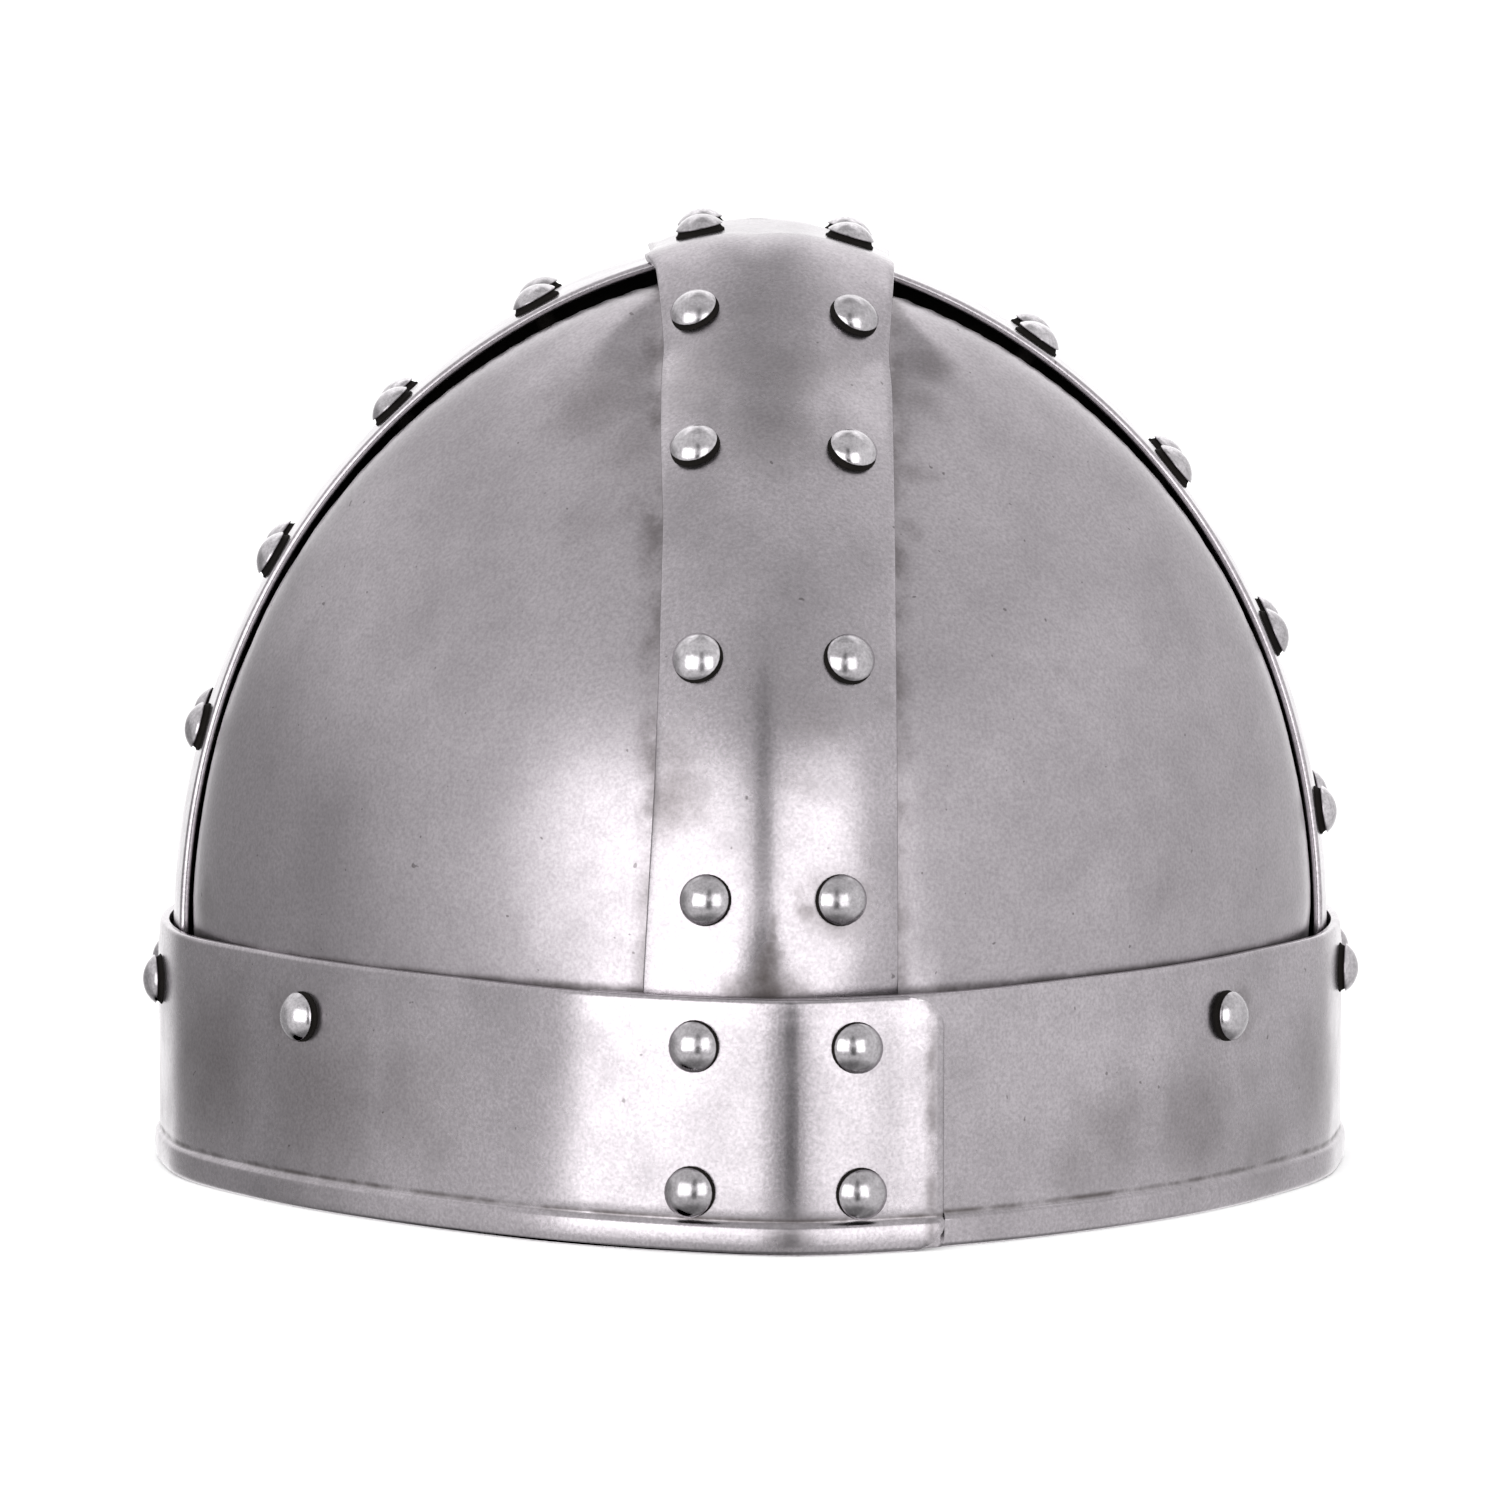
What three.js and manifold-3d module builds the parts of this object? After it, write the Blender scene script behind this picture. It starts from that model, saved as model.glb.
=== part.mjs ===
// Riveted helmet of four dished quarter plates, two crossing straps and a brow band.
// Millimetres, +Z up. The rim lies in the plane Z = 0, and -Y is the side with the brow band's lap joint.

import * as THREE from 'three';
import * as BufferGeometryUtils from 'three/addons/utils/BufferGeometryUtils.js';
import Module from 'manifold-3d';

const wasm = await Module();
wasm.setup();

// Dome, measured on the outside of the quarter plates
const DOME_HALF_WIDTH = 98;
const DOME_HALF_LENGTH = 109;
const DOME_TOP = 158.6;
const WALL_TOP = 40; // below this height the plates stand upright
const KEEL_POWER = { near: 1.4, far: 1.8, crown: 1.8 }; // plan curve: under 2 gives a soft ridge at the ends
const KEEL_SIDE_STEP = 5; // the ridge stands this far right of the middle
const CROWN_LEAN = 1.1; // the crown stands this far right of the rim

// Sheet and clearances
const PLATE_WALL = 1.6;
const STRAP_WALL = 1.6;
const BROW_WALL = 1.6;
const SHEET_GAP = 0.3;
const STRAP_SEAT = 0.7; // plates to the middle of a strap
const CROWN_SEAT = 2.4; // plates to the middle of the lower strap, at the crossing
const CROSSING_SEAT = 1; // lower strap to the upper one
const SKIRT_BOTTOM = 20; // plates and straps end behind the brow band, this far above the rim
const PLATE_EDGE_GAP = 6; // between two plates, under the straps

// Straps
const STRAP_WIDTH = 39.3;
const FRONT_STRAP_CENTRE = 4; // X of the front to back strap's middle line
const FRONT_EDGE_LIFT = 0.3; // its edges stand off the plates by this much more than its middle
const SIDE_EDGE_LIFT_LOW = 1.1; // the side strap is flatter across than the dome under it
const SIDE_EDGE_LIFT_HIGH = 3;
const CROSSING_RUN_OUT = 58; // the upper strap is back down on the plates this far from the crossing
const CROSSING_WAIST = 0.92; // the upper strap's edges turn down at the crossing, so it spans less there
const WAIST_TURNS = [9, 29]; // degrees from the crown between which it opens to its full span

// Brow band
const BROW_HEIGHT = 42;
const BROW_CLEARANCE = { diagonal: 1, side: 4.3, front: 4.1, back: 3.6 }; // plate to band
const BROW_STEP_FLAT = 5; // the band keeps its clearance this far past a strap's edge
const BROW_STEP_EASE = 28; // then it closes on the plates over this length
const LIP_HEIGHT = 4;
const LIP_IN = 0.5;
const HEM_HEIGHT = 5.2;
const HEM_OUT = 0.75;
const HEM_BEND = 0.7;
const LAP_INNER_END = -24; // X of the covered end
const LAP_OUTER_END = 28.4; // X of the free end
const LAP_EASE = 44; // length over which the band rises on to its own covered end
const LAP_CORNER = 6;

// Rivets
const HEAD_RADIUS = 4.1;
const HEAD_HEIGHT = 2.9;
const SHANK_RADIUS = 1.7;
const TAIL_RADIUS = 3.1;
const TAIL_HEIGHT = 1;
const HOLE_CLEARANCE = 0.3;
const SEAT_PROBE = 20; // a rivet's sheets all lie within this distance of its foot

// Facets
const PLATE_COLUMNS = 8;
const PLATE_ROWS = 9;
const STRAP_STEPS = 10; // down each arm, past the crossing
const STRAP_STRIPS = [-1, -0.37, 0.02, 0.37, 1]; // no line runs through a rivet
const BROW_STEP_DEGREES = 8;
const RIVET_SIDES = 8;
const HOLE_SIDES = 4; // square punched holes, covered by head and tail
const HEAD_RING = 48; // degrees up a rivet's dome at which its one ring lies
const CORNER_SHARES = [0, 0.35, 0.65, 0.88, 1]; // stations round the free end's corners

// Exactness
const HALVINGS = 40;
const MERGE_DISTANCE = 0.001;
const SLOPE_STEP = 0.5; // the surface's slope is taken over this length
const TURN_STEP = 0.02; // and over this turn, in radians

// Rivet rows down each arm of the straps, from the crown
// [degrees from the crown, half the space between the pair, degrees that the heads lean out]
const FRONT_ROWS = [[19.3, 11.6, 16], [37.5, 12, 11], [59.6, 11.6, 2], [80.8, 10.4, 0]];
const ARM_ROWS = {
  near: FRONT_ROWS,
  far: FRONT_ROWS,
  left: [[18.6, 13, 0], [33.9, 13, 0], [51.2, 13, 0], [69.1, 13, 0]],
  right: [[24.6, 13, 0], [41, 13, 0], [59.1, 13, 0], [77.3, 13, 0]],
};
const CROWN_PAIR = { across: 12.2, along: 13 };
const BROW_PAIRS = {
  lap_upper: { height: 34, spread: 10.9 },
  lap_lower: { height: 10, spread: 11.5 },
  far: { height: 34, spread: 11 },
  left: { height: 32.3, spread: 13 },
  right: { height: 34.2, spread: 13 },
};
const DIAGONAL_RIVET = { height: 32.2, left: -73.5, right: 77.6 };
const STRAP_RIVET = { height: 12, along: 35 }; // one each side, for a chin strap

// Steel tones
const PLATE_STEEL = { color: 0xa3a0a4, roughness: 0.38, metalness: 1 };
const STRAP_STEEL = { color: 0xaaa7ab, roughness: 0.36, metalness: 1 };
const RIVET_STEEL = { color: 0xb4b1b6, roughness: 0.3, metalness: 1 };

const radians = THREE.MathUtils.degToRad;

// The value between two limits up to which a condition holds
function lastWhere(holds, from, to) {
  let low = from;
  let high = to;
  for (let step = 0; step < HALVINGS; step += 1) {
    const middle = (low + high) / 2;
    if (holds(middle)) {
      low = middle;
    } else {
      high = middle;
    }
  }
  return (low + high) / 2;
}

function ease(value, from, to) {
  const t = THREE.MathUtils.clamp((value - from) / (to - from), 0, 1);
  return t * t * (3 - 2 * t);
}

// The dome's side outline is one arc on each side: upright at the wall, the two meet at the crown
const ARC_RISE = DOME_TOP - WALL_TOP;
const ARC_RADIUS = (ARC_RISE ** 2 / DOME_HALF_WIDTH + DOME_HALF_WIDTH) / 2;
const ARC_CENTRE = DOME_HALF_WIDTH - ARC_RADIUS;

// How wide the dome is at a height, as a share of its width at the wall
function shareAtHeight(z) {
  const rise = THREE.MathUtils.clamp(z - WALL_TOP, 0, ARC_RISE);
  return Math.max(0, (ARC_CENTRE + Math.sqrt(ARC_RADIUS ** 2 - rise ** 2)) / DOME_HALF_WIDTH);
}

// The dome's slope at the crown, from level
const CROWN_SLOPE = Math.asin(-ARC_CENTRE / ARC_RADIUS);

// The plan curve, grown or shrunk by a share, that runs through a point
function shareAtPoint(x, y, z) {
  const t = THREE.MathUtils.clamp((z - WALL_TOP) / (DOME_TOP - WALL_TOP), 0, 1);
  const power = THREE.MathUtils.lerp(y < 0 ? KEEL_POWER.near : KEEL_POWER.far, KEEL_POWER.crown, t);
  const shift = CROWN_LEAN * t + KEEL_SIDE_STEP * (y / DOME_HALF_LENGTH) ** 2;
  const across = Math.abs(x - shift) / DOME_HALF_WIDTH;
  const along = Math.abs(y) / DOME_HALF_LENGTH;
  return lastWhere((share) => (across / share) ** power + (along / share) ** 2 >= 1, 0, 2);
}

// Positive outside the plates' outer face
function outside(point) {
  return shareAtPoint(point.x, point.y, point.z) - shareAtHeight(point.z);
}

function normalAt(point) {
  const normal = new THREE.Vector3();
  for (const axis of ['x', 'y', 'z']) {
    const ahead = point.clone();
    const behind = point.clone();
    ahead[axis] += SLOPE_STEP;
    behind[axis] -= SLOPE_STEP;
    normal[axis] = outside(ahead) - outside(behind);
  }
  return normal.normalize();
}

// Where a ray from inside meets the plates' outer face
function onDome(origin, direction) {
  const at = (reach) => origin.clone().addScaledVector(direction, reach);
  return at(lastWhere((reach) => outside(at(reach)) < 0, 0, 2 * DOME_HALF_LENGTH));
}

// A closed sheet between two faces, each given as a function of row and column that returns a point
function sheet(rows, columns, outerPoint, innerPoint) {
  const positions = [];
  const index = [];
  for (const face of [outerPoint, innerPoint]) {
    for (let row = 0; row <= rows; row += 1) {
      for (let column = 0; column <= columns; column += 1) {
        positions.push(...face(row, column).toArray());
      }
    }
  }
  const size = (rows + 1) * (columns + 1);
  const at = (face, row, column) => face * size + row * (columns + 1) + column;
  const quad = (a, b, c, d) => index.push(a, b, c, a, c, d);
  for (let row = 0; row < rows; row += 1) {
    for (let column = 0; column < columns; column += 1) {
      const corners = [[row, column], [row, column + 1], [row + 1, column + 1], [row + 1, column]];
      quad(...corners.map(([r, c]) => at(0, r, c)));
      quad(...corners.reverse().map(([r, c]) => at(1, r, c)));
    }
  }
  for (let row = 0; row < rows; row += 1) {
    quad(at(0, row, 0), at(0, row + 1, 0), at(1, row + 1, 0), at(1, row, 0));
    quad(at(0, row + 1, columns), at(0, row, columns), at(1, row, columns), at(1, row + 1, columns));
  }
  for (let column = 0; column < columns; column += 1) {
    quad(at(0, 0, column + 1), at(0, 0, column), at(1, 0, column), at(1, 0, column + 1));
    quad(at(0, rows, column), at(0, rows, column + 1), at(1, rows, column + 1), at(1, rows, column));
  }
  const geometry = new THREE.BufferGeometry();
  geometry.setAttribute('position', new THREE.Float32BufferAttribute(positions, 3));
  geometry.setIndex(index);
  return geometry;
}

// A closed solid with its shared points merged, faces that have closed to a line left out
function toSolid(geometry) {
  const bare = geometry.clone();
  bare.deleteAttribute('normal');
  bare.deleteAttribute('uv');
  const merged = BufferGeometryUtils.mergeVertices(bare, MERGE_DISTANCE);
  const kept = [];
  for (let i = 0; i < merged.index.count; i += 3) {
    const [a, b, c] = [merged.index.getX(i), merged.index.getX(i + 1), merged.index.getX(i + 2)];
    if (a !== b && b !== c && c !== a) {
      kept.push(a, b, c);
    }
  }
  const vertProperties = new Float32Array(merged.attributes.position.array);
  const solidOf = (corners) => {
    const triVerts = new Uint32Array(corners);
    return new wasm.Manifold(new wasm.Mesh({ numProp: 3, vertProperties, triVerts }));
  };
  const solid = solidOf(kept);
  return solid.volume() > 0 ? solid : solidOf(kept.reverse());
}

function toGeometry(solid) {
  const mesh = solid.getMesh();
  const geometry = new THREE.BufferGeometry();
  geometry.setAttribute('position', new THREE.BufferAttribute(mesh.vertProperties, 3));
  geometry.setIndex(new THREE.BufferAttribute(mesh.triVerts, 1));
  geometry.computeVertexNormals();
  return geometry;
}

// Quarter plate: its corner under the crossing, its rays run out to the plan curve and down the wall
function quarterPlate(sideX, sideY) {
  const corner = new THREE.Vector3(
    FRONT_STRAP_CENTRE + sideX * PLATE_EDGE_GAP / 2,
    sideY * PLATE_EDGE_GAP / 2,
    WALL_TOP,
  );
  const edge = [];
  for (let column = 0; column <= PLATE_COLUMNS; column += 1) {
    const turn = radians(90 * column / PLATE_COLUMNS);
    edge.push(onDome(corner, new THREE.Vector3(sideX * Math.cos(turn), sideY * Math.sin(turn), 0)));
  }
  const up = new THREE.Vector3(0, 0, 1);
  const outer = [];
  for (let row = 0; row <= PLATE_ROWS; row += 1) {
    outer.push(edge.map((end) => {
      if (row === PLATE_ROWS) {
        return new THREE.Vector3(end.x, end.y, SKIRT_BOTTOM);
      }
      const slope = THREE.MathUtils.lerp(CROWN_SLOPE, Math.PI / 2, row / (PLATE_ROWS - 1));
      const share = (ARC_CENTRE + ARC_RADIUS * Math.sin(slope)) / DOME_HALF_WIDTH;
      const foot = corner.clone().lerp(end, THREE.MathUtils.clamp(share, 0, 1));
      return row === PLATE_ROWS - 1 ? foot : onDome(foot, up);
    }));
  }
  const inner = outer.map((row) => row.map((p) => p.clone().addScaledVector(normalAt(p), -PLATE_WALL)));
  return sheet(PLATE_ROWS, PLATE_COLUMNS, (r, c) => outer[r][c], (r, c) => inner[r][c]);
}

// Height of the side strap's underside over the plates
function sideStrapOffset(point) {
  const high = ease(point.z, WALL_TOP, DOME_TOP);
  const seat = THREE.MathUtils.lerp(STRAP_SEAT, CROWN_SEAT, high);
  const lift = THREE.MathUtils.lerp(SIDE_EDGE_LIFT_LOW, SIDE_EDGE_LIFT_HIGH, high);
  return seat + lift * (point.y / (STRAP_WIDTH / 2)) ** 2;
}

// Height of the front to back strap's underside, raised where it crosses the side strap
function frontStrapOffset(point) {
  const across = (point.x - FRONT_STRAP_CENTRE) / (STRAP_WIDTH / 2);
  const low = STRAP_SEAT + FRONT_EDGE_LIFT * across ** 2;
  const reach = Math.min(Math.abs(point.y) / (STRAP_WIDTH / 2), 1);
  const over = CROWN_SEAT + SIDE_EDGE_LIFT_HIGH * reach ** 2 + STRAP_WALL + CROSSING_SEAT;
  const down = ease(Math.abs(point.y), STRAP_WIDTH / 2 + SHEET_GAP, CROSSING_RUN_OUT);
  return THREE.MathUtils.lerp(over, low, down);
}

// How much of its width the front to back strap spans, at a turn from the crown
function frontStrapSpan(turn) {
  const [from, to] = WAIST_TURNS.map(radians);
  return THREE.MathUtils.lerp(CROSSING_WAIST, 1, ease(Math.abs(turn), from, to));
}

// Rays of the two straps: turn is counted from the crown, lateral is the distance from the middle line
const STRAPS = {
  front: {
    offset: frontStrapOffset,
    span: frontStrapSpan,
    origin: (lateral, z) => new THREE.Vector3(FRONT_STRAP_CENTRE + lateral, 0, z),
    direction: (turn) => new THREE.Vector3(0, Math.sin(turn), Math.cos(turn)),
  },
  side: {
    offset: sideStrapOffset,
    span: () => 1,
    origin: (lateral, z) => new THREE.Vector3(CROWN_LEAN, lateral, z),
    direction: (turn) => new THREE.Vector3(Math.sin(turn), 0, Math.cos(turn)),
  },
};

function strapFoot(strap, turn, lateral) {
  return onDome(strap.origin(lateral * strap.span(turn), WALL_TOP), strap.direction(turn));
}

// Turns from the crown at which a strap bends: at the crossing's edge, then evenly down to the wall
function strapTurns() {
  const crossing = Math.atan2(STRAP_WIDTH / 2 + SHEET_GAP, DOME_TOP - WALL_TOP);
  const arm = [];
  for (let step = 0; step <= STRAP_STEPS; step += 1) {
    arm.push(THREE.MathUtils.lerp(crossing, Math.PI / 2, step / STRAP_STEPS));
  }
  return [...arm.map((turn) => -turn).reverse(), 0, ...arm];
}

// Strap from brow to brow, with one short upright step at each end
function strapSheet(strap) {
  const feet = strapTurns().map((turn) => (
    STRAP_STRIPS.map((strip) => strapFoot(strap, turn, strip * STRAP_WIDTH / 2))
  ));
  const atSkirt = (row) => row.map((foot) => new THREE.Vector3(foot.x, foot.y, SKIRT_BOTTOM));
  feet.unshift(atSkirt(feet[0]));
  feet.push(atSkirt(feet[feet.length - 1]));
  const lifted = (row, column, wall) => {
    const foot = feet[row][column];
    return foot.clone().addScaledVector(normalAt(foot), strap.offset(foot) + wall);
  };
  return sheet(
    feet.length - 1,
    STRAP_STRIPS.length - 1,
    (r, c) => lifted(r, c, STRAP_WALL),
    (r, c) => lifted(r, c, 0),
  );
}

// A point of the plates' wall, by the angle of the plan curve
function wallPoint(degrees) {
  const turn = radians(degrees);
  const cosine = Math.cos(turn);
  const y = DOME_HALF_LENGTH * Math.sin(turn);
  const power = y < 0 ? KEEL_POWER.near : KEEL_POWER.far;
  const x = Math.sign(cosine) * DOME_HALF_WIDTH * Math.abs(cosine) ** (2 / power);
  return new THREE.Vector3(x + KEEL_SIDE_STEP * Math.sin(turn) ** 2, y, 0);
}

// The near side's angle at which the wall stands at a given X
function nearAngleAt(x) {
  return lastWhere((degrees) => wallPoint(degrees).x < x, -180, 0);
}

// Plate to brow band: close on the diagonals, clear of the straps
function browOffset(point) {
  const flat = STRAP_WIDTH / 2 + BROW_STEP_FLAT;
  const overFront = 1 - ease(Math.abs(point.x - FRONT_STRAP_CENTRE), flat, flat + BROW_STEP_EASE);
  const overSide = 1 - ease(Math.abs(point.y), flat, flat + BROW_STEP_EASE);
  const end = point.y < 0 ? BROW_CLEARANCE.front : BROW_CLEARANCE.back;
  const { diagonal, side } = BROW_CLEARANCE;
  return diagonal + (end - diagonal) * overFront + (side - diagonal) * overSide;
}

// The outer layer rises over the covered end as it comes round from the left
function lapRise(point) {
  const raised = LAP_INNER_END - SHEET_GAP;
  return (BROW_WALL + SHEET_GAP) * ease(point.x, raised - LAP_EASE, raised);
}

// Stations along the brow band, from its covered end once round to its free end
function browStations() {
  const start = nearAngleAt(LAP_INNER_END);
  const end = nearAngleAt(LAP_OUTER_END);
  const stations = [{ degrees: start }];
  const first = Math.ceil((start + 90) / BROW_STEP_DEGREES) * BROW_STEP_DEGREES - 90;
  for (let degrees = first; degrees < 360 + end; degrees += BROW_STEP_DEGREES) {
    stations.push({ degrees });
  }
  const cornerStart = 360 + nearAngleAt(LAP_OUTER_END - LAP_CORNER);
  const last = stations.filter((station) => station.degrees < cornerStart);
  for (const pastEnd of [SHEET_GAP, 2 * SHEET_GAP]) {
    last.push({ degrees: nearAngleAt(LAP_OUTER_END + pastEnd) });
  }
  for (const share of CORNER_SHARES) {
    const x = LAP_OUTER_END - LAP_CORNER * (1 - share);
    const rounding = LAP_CORNER * (1 - Math.sqrt(1 - share * share));
    last.push({ degrees: 360 + nearAngleAt(x), rounding });
  }
  return last
    .map((station) => ({
      ...station,
      outerLayer: station.degrees > 180,
      covered: station.degrees < nearAngleAt(LAP_OUTER_END + 1.5 * SHEET_GAP),
    }))
    .sort((a, b) => a.degrees - b.degrees);
}

// The brow band's section: distance from its inner face, by height
function browSection(z, hem) {
  const lip = LIP_IN * Math.max(0, (z - (BROW_HEIGHT - LIP_HEIGHT)) / LIP_HEIGHT);
  const folded = THREE.MathUtils.clamp((HEM_HEIGHT - z) / HEM_BEND, 0, 1);
  return { inner: -lip, outer: BROW_WALL - lip + hem * folded };
}

function browSheet() {
  const stations = browStations();
  const heights = [BROW_HEIGHT, BROW_HEIGHT - LIP_HEIGHT, HEM_HEIGHT, HEM_HEIGHT - HEM_BEND, 0];
  const point = (row, column, face) => {
    const { degrees, rounding = 0, outerLayer, covered } = stations[column];
    const wall = wallPoint(degrees);
    const z = THREE.MathUtils.clamp(heights[row], rounding, BROW_HEIGHT - rounding);
    const section = browSection(z, covered ? 0 : HEM_OUT);
    const rise = outerLayer ? lapRise(wall) : 0;
    wall.addScaledVector(normalAt(wall), browOffset(wall) + rise + section[face]);
    wall.z = z;
    return wall;
  };
  return sheet(
    heights.length - 1,
    stations.length - 1,
    (r, c) => point(r, c, 'outer'),
    (r, c) => point(r, c, 'inner'),
  );
}

// The direction square to a strap's face, pointing out
function strapNormal(strap, turn, lateral) {
  const surface = (t, l) => {
    const foot = strapFoot(strap, t, l);
    return foot.clone().addScaledVector(normalAt(foot), strap.offset(foot));
  };
  const along = surface(turn + TURN_STEP, lateral).sub(surface(turn - TURN_STEP, lateral));
  const across = surface(turn, lateral + SLOPE_STEP).sub(surface(turn, lateral - SLOPE_STEP));
  const normal = along.cross(across).normalize();
  return normal.dot(normalAt(strapFoot(strap, turn, lateral))) < 0 ? normal.negate() : normal;
}

// Every rivet: its name, the point of the plates' outer face under it and the way its head points
function rivetSeats() {
  const seats = [];
  const letter = (value) => (value < 0 ? 'a' : 'b');
  const addSeat = (name, foot, axis) => {
    const turn = new THREE.Quaternion().setFromUnitVectors(new THREE.Vector3(0, 0, 1), axis);
    seats.push({ name, foot, turn });
  };
  const addOnStrap = (name, strap, turn, lateral, leanOut = 0) => {
    const axis = strapNormal(strap, turn, lateral);
    const ahead = strapFoot(strap, turn + TURN_STEP, lateral);
    const along = ahead.sub(strapFoot(strap, turn - TURN_STEP, lateral)).normalize();
    const across = strap.origin(1, 0).sub(strap.origin(0, 0));
    const sense = Math.sign(along.clone().cross(axis).dot(across)) * Math.sign(lateral);
    axis.applyAxisAngle(along, sense * radians(leanOut));
    addSeat(name, strapFoot(strap, turn, lateral), axis);
  };
  const addOnBrow = (name, x, y, height, direction) => {
    const foot = onDome(new THREE.Vector3(x, y, height), new THREE.Vector3(...direction));
    addSeat(name, foot, normalAt(foot));
  };
  const arms = [
    ['near', STRAPS.front, -1],
    ['far', STRAPS.front, 1],
    ['left', STRAPS.side, -1],
    ['right', STRAPS.side, 1],
  ];
  const crownTurn = Math.atan2(CROWN_PAIR.along, DOME_TOP - WALL_TOP);
  for (const side of [-1, 1]) {
    const name = letter(side);
    const { across: crownSpread } = CROWN_PAIR;
    for (const [arm, strap, sign] of arms) {
      ARM_ROWS[arm].forEach(([degrees, spread, leanOut], row) => {
        addOnStrap(`rivet_${arm}_${row + 1}${name}`, strap, sign * radians(degrees), side * spread, leanOut);
      });
    }
    for (const end of [-1, 1]) {
      addOnStrap(`rivet_crown_${letter(end)}${name}`, STRAPS.front, end * crownTurn, side * crownSpread);
      const diagonal = side < 0 ? DIAGONAL_RIVET.left : DIAGONAL_RIVET.right;
      addOnBrow(`rivet_brow_${letter(end)}${name}`, diagonal, 0, DIAGONAL_RIVET.height, [0, end, 0]);
    }
    const { lap_upper: upper, lap_lower: lower, far, left, right } = BROW_PAIRS;
    const onFront = (pair) => FRONT_STRAP_CENTRE + side * pair.spread;
    addOnBrow(`rivet_lap_upper_${name}`, onFront(upper), 0, upper.height, [0, -1, 0]);
    addOnBrow(`rivet_lap_lower_${name}`, onFront(lower), 0, lower.height, [0, -1, 0]);
    addOnBrow(`rivet_brow_far_${name}`, onFront(far), 0, far.height, [0, 1, 0]);
    addOnBrow(`rivet_brow_left_${name}`, 0, side * left.spread, left.height, [-1, 0, 0]);
    addOnBrow(`rivet_brow_right_${name}`, 0, side * right.spread, right.height, [1, 0, 0]);
    addOnBrow(`rivet_chin_strap_${name}`, 0, STRAP_RIVET.along, STRAP_RIVET.height, [side, 0, 0]);
  }
  return seats;
}

function onSeat(geometry, { foot, turn }) {
  return geometry.applyQuaternion(turn).translate(foot.x, foot.y, foot.z);
}

// How far the sheets reach from a rivet's foot, outwards or inwards, under the rim of its head or tail
function sheetReach({ foot, turn }, sheets, radius, side) {
  const inwards = new THREE.Vector3(0, 0, -side).applyQuaternion(turn);
  const caster = new THREE.Raycaster();
  let reach = -Infinity;
  for (let spoke = 0; spoke <= RIVET_SIDES; spoke += 1) {
    const angle = 2 * Math.PI * spoke / RIVET_SIDES;
    const rim = spoke < RIVET_SIDES ? radius : 0;
    const start = new THREE.Vector3(rim * Math.cos(angle), rim * Math.sin(angle), side * SEAT_PROBE);
    caster.set(start.applyQuaternion(turn).add(foot), inwards);
    const [hit] = caster.intersectObjects(sheets, false);
    if (hit) {
      reach = Math.max(reach, SEAT_PROBE - hit.distance);
    }
  }
  return reach;
}

// Domed head, shank through the sheets and a flattened tail inside
function rivetGeometry(seat, sheets) {
  const head = sheetReach(seat, sheets, HEAD_RADIUS, 1) + SHEET_GAP;
  const tail = -sheetReach(seat, sheets, TAIL_RADIUS, -1) - SHEET_GAP;
  const ring = radians(HEAD_RING);
  const profile = [
    [0, tail - TAIL_HEIGHT],
    [TAIL_RADIUS, tail],
    [SHANK_RADIUS, tail],
    [SHANK_RADIUS, head],
    [HEAD_RADIUS, head],
    [HEAD_RADIUS * Math.cos(ring), head + HEAD_HEIGHT * Math.sin(ring)],
    [0, head + HEAD_HEIGHT],
  ].map(([radius, height]) => new THREE.Vector2(radius, height));
  const lathe = new THREE.LatheGeometry(profile, RIVET_SIDES).rotateX(Math.PI / 2);
  return onSeat(lathe, seat);
}

function holeCutter(seat) {
  const radius = (SHANK_RADIUS + HOLE_CLEARANCE) / Math.cos(Math.PI / HOLE_SIDES);
  const pin = new THREE.CylinderGeometry(radius, radius, 2 * SEAT_PROBE, HOLE_SIDES);
  return toSolid(onSeat(pin.rotateX(Math.PI / 2), seat));
}

const helmet = new THREE.Group();

function addPiece(name, solid, finish) {
  const mesh = new THREE.Mesh(toGeometry(solid), new THREE.MeshStandardMaterial(finish));
  mesh.name = name;
  helmet.add(mesh);
}

const sheetPieces = [
  ['plate_near_left', quarterPlate(-1, -1), PLATE_STEEL],
  ['plate_near_right', quarterPlate(1, -1), PLATE_STEEL],
  ['plate_far_left', quarterPlate(-1, 1), PLATE_STEEL],
  ['plate_far_right', quarterPlate(1, 1), PLATE_STEEL],
  ['band_side_to_side', strapSheet(STRAPS.side), STRAP_STEEL],
  ['band_front_back', strapSheet(STRAPS.front), STRAP_STEEL],
  ['brow_band', browSheet(), STRAP_STEEL],
].map(([name, geometry, finish]) => ({ name, solid: toSolid(geometry), finish }));
const sheets = sheetPieces.map(({ solid }) => new THREE.Mesh(toGeometry(solid)));
const seats = rivetSeats();
const holes = seats.map(holeCutter).reduce((all, hole) => all.add(hole));

for (const { name, solid, finish } of sheetPieces) {
  addPiece(name, solid.subtract(holes), finish);
}
for (const seat of seats) {
  addPiece(seat.name, toSolid(rivetGeometry(seat, sheets)), RIVET_STEEL);
}

// The origin lies in the rim's plane, under the middle of the whole helmet
const middle = new THREE.Box3().setFromObject(helmet).getCenter(new THREE.Vector3());
helmet.position.set(-middle.x, -middle.y, 0);

export default helmet;
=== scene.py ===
"""Riveted steel helmet: satin sheet plates, crossing straps, a lapped brow band and domed rivets."""
import math

import bpy
import numpy as np
from mathutils import Matrix, Vector


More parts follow.
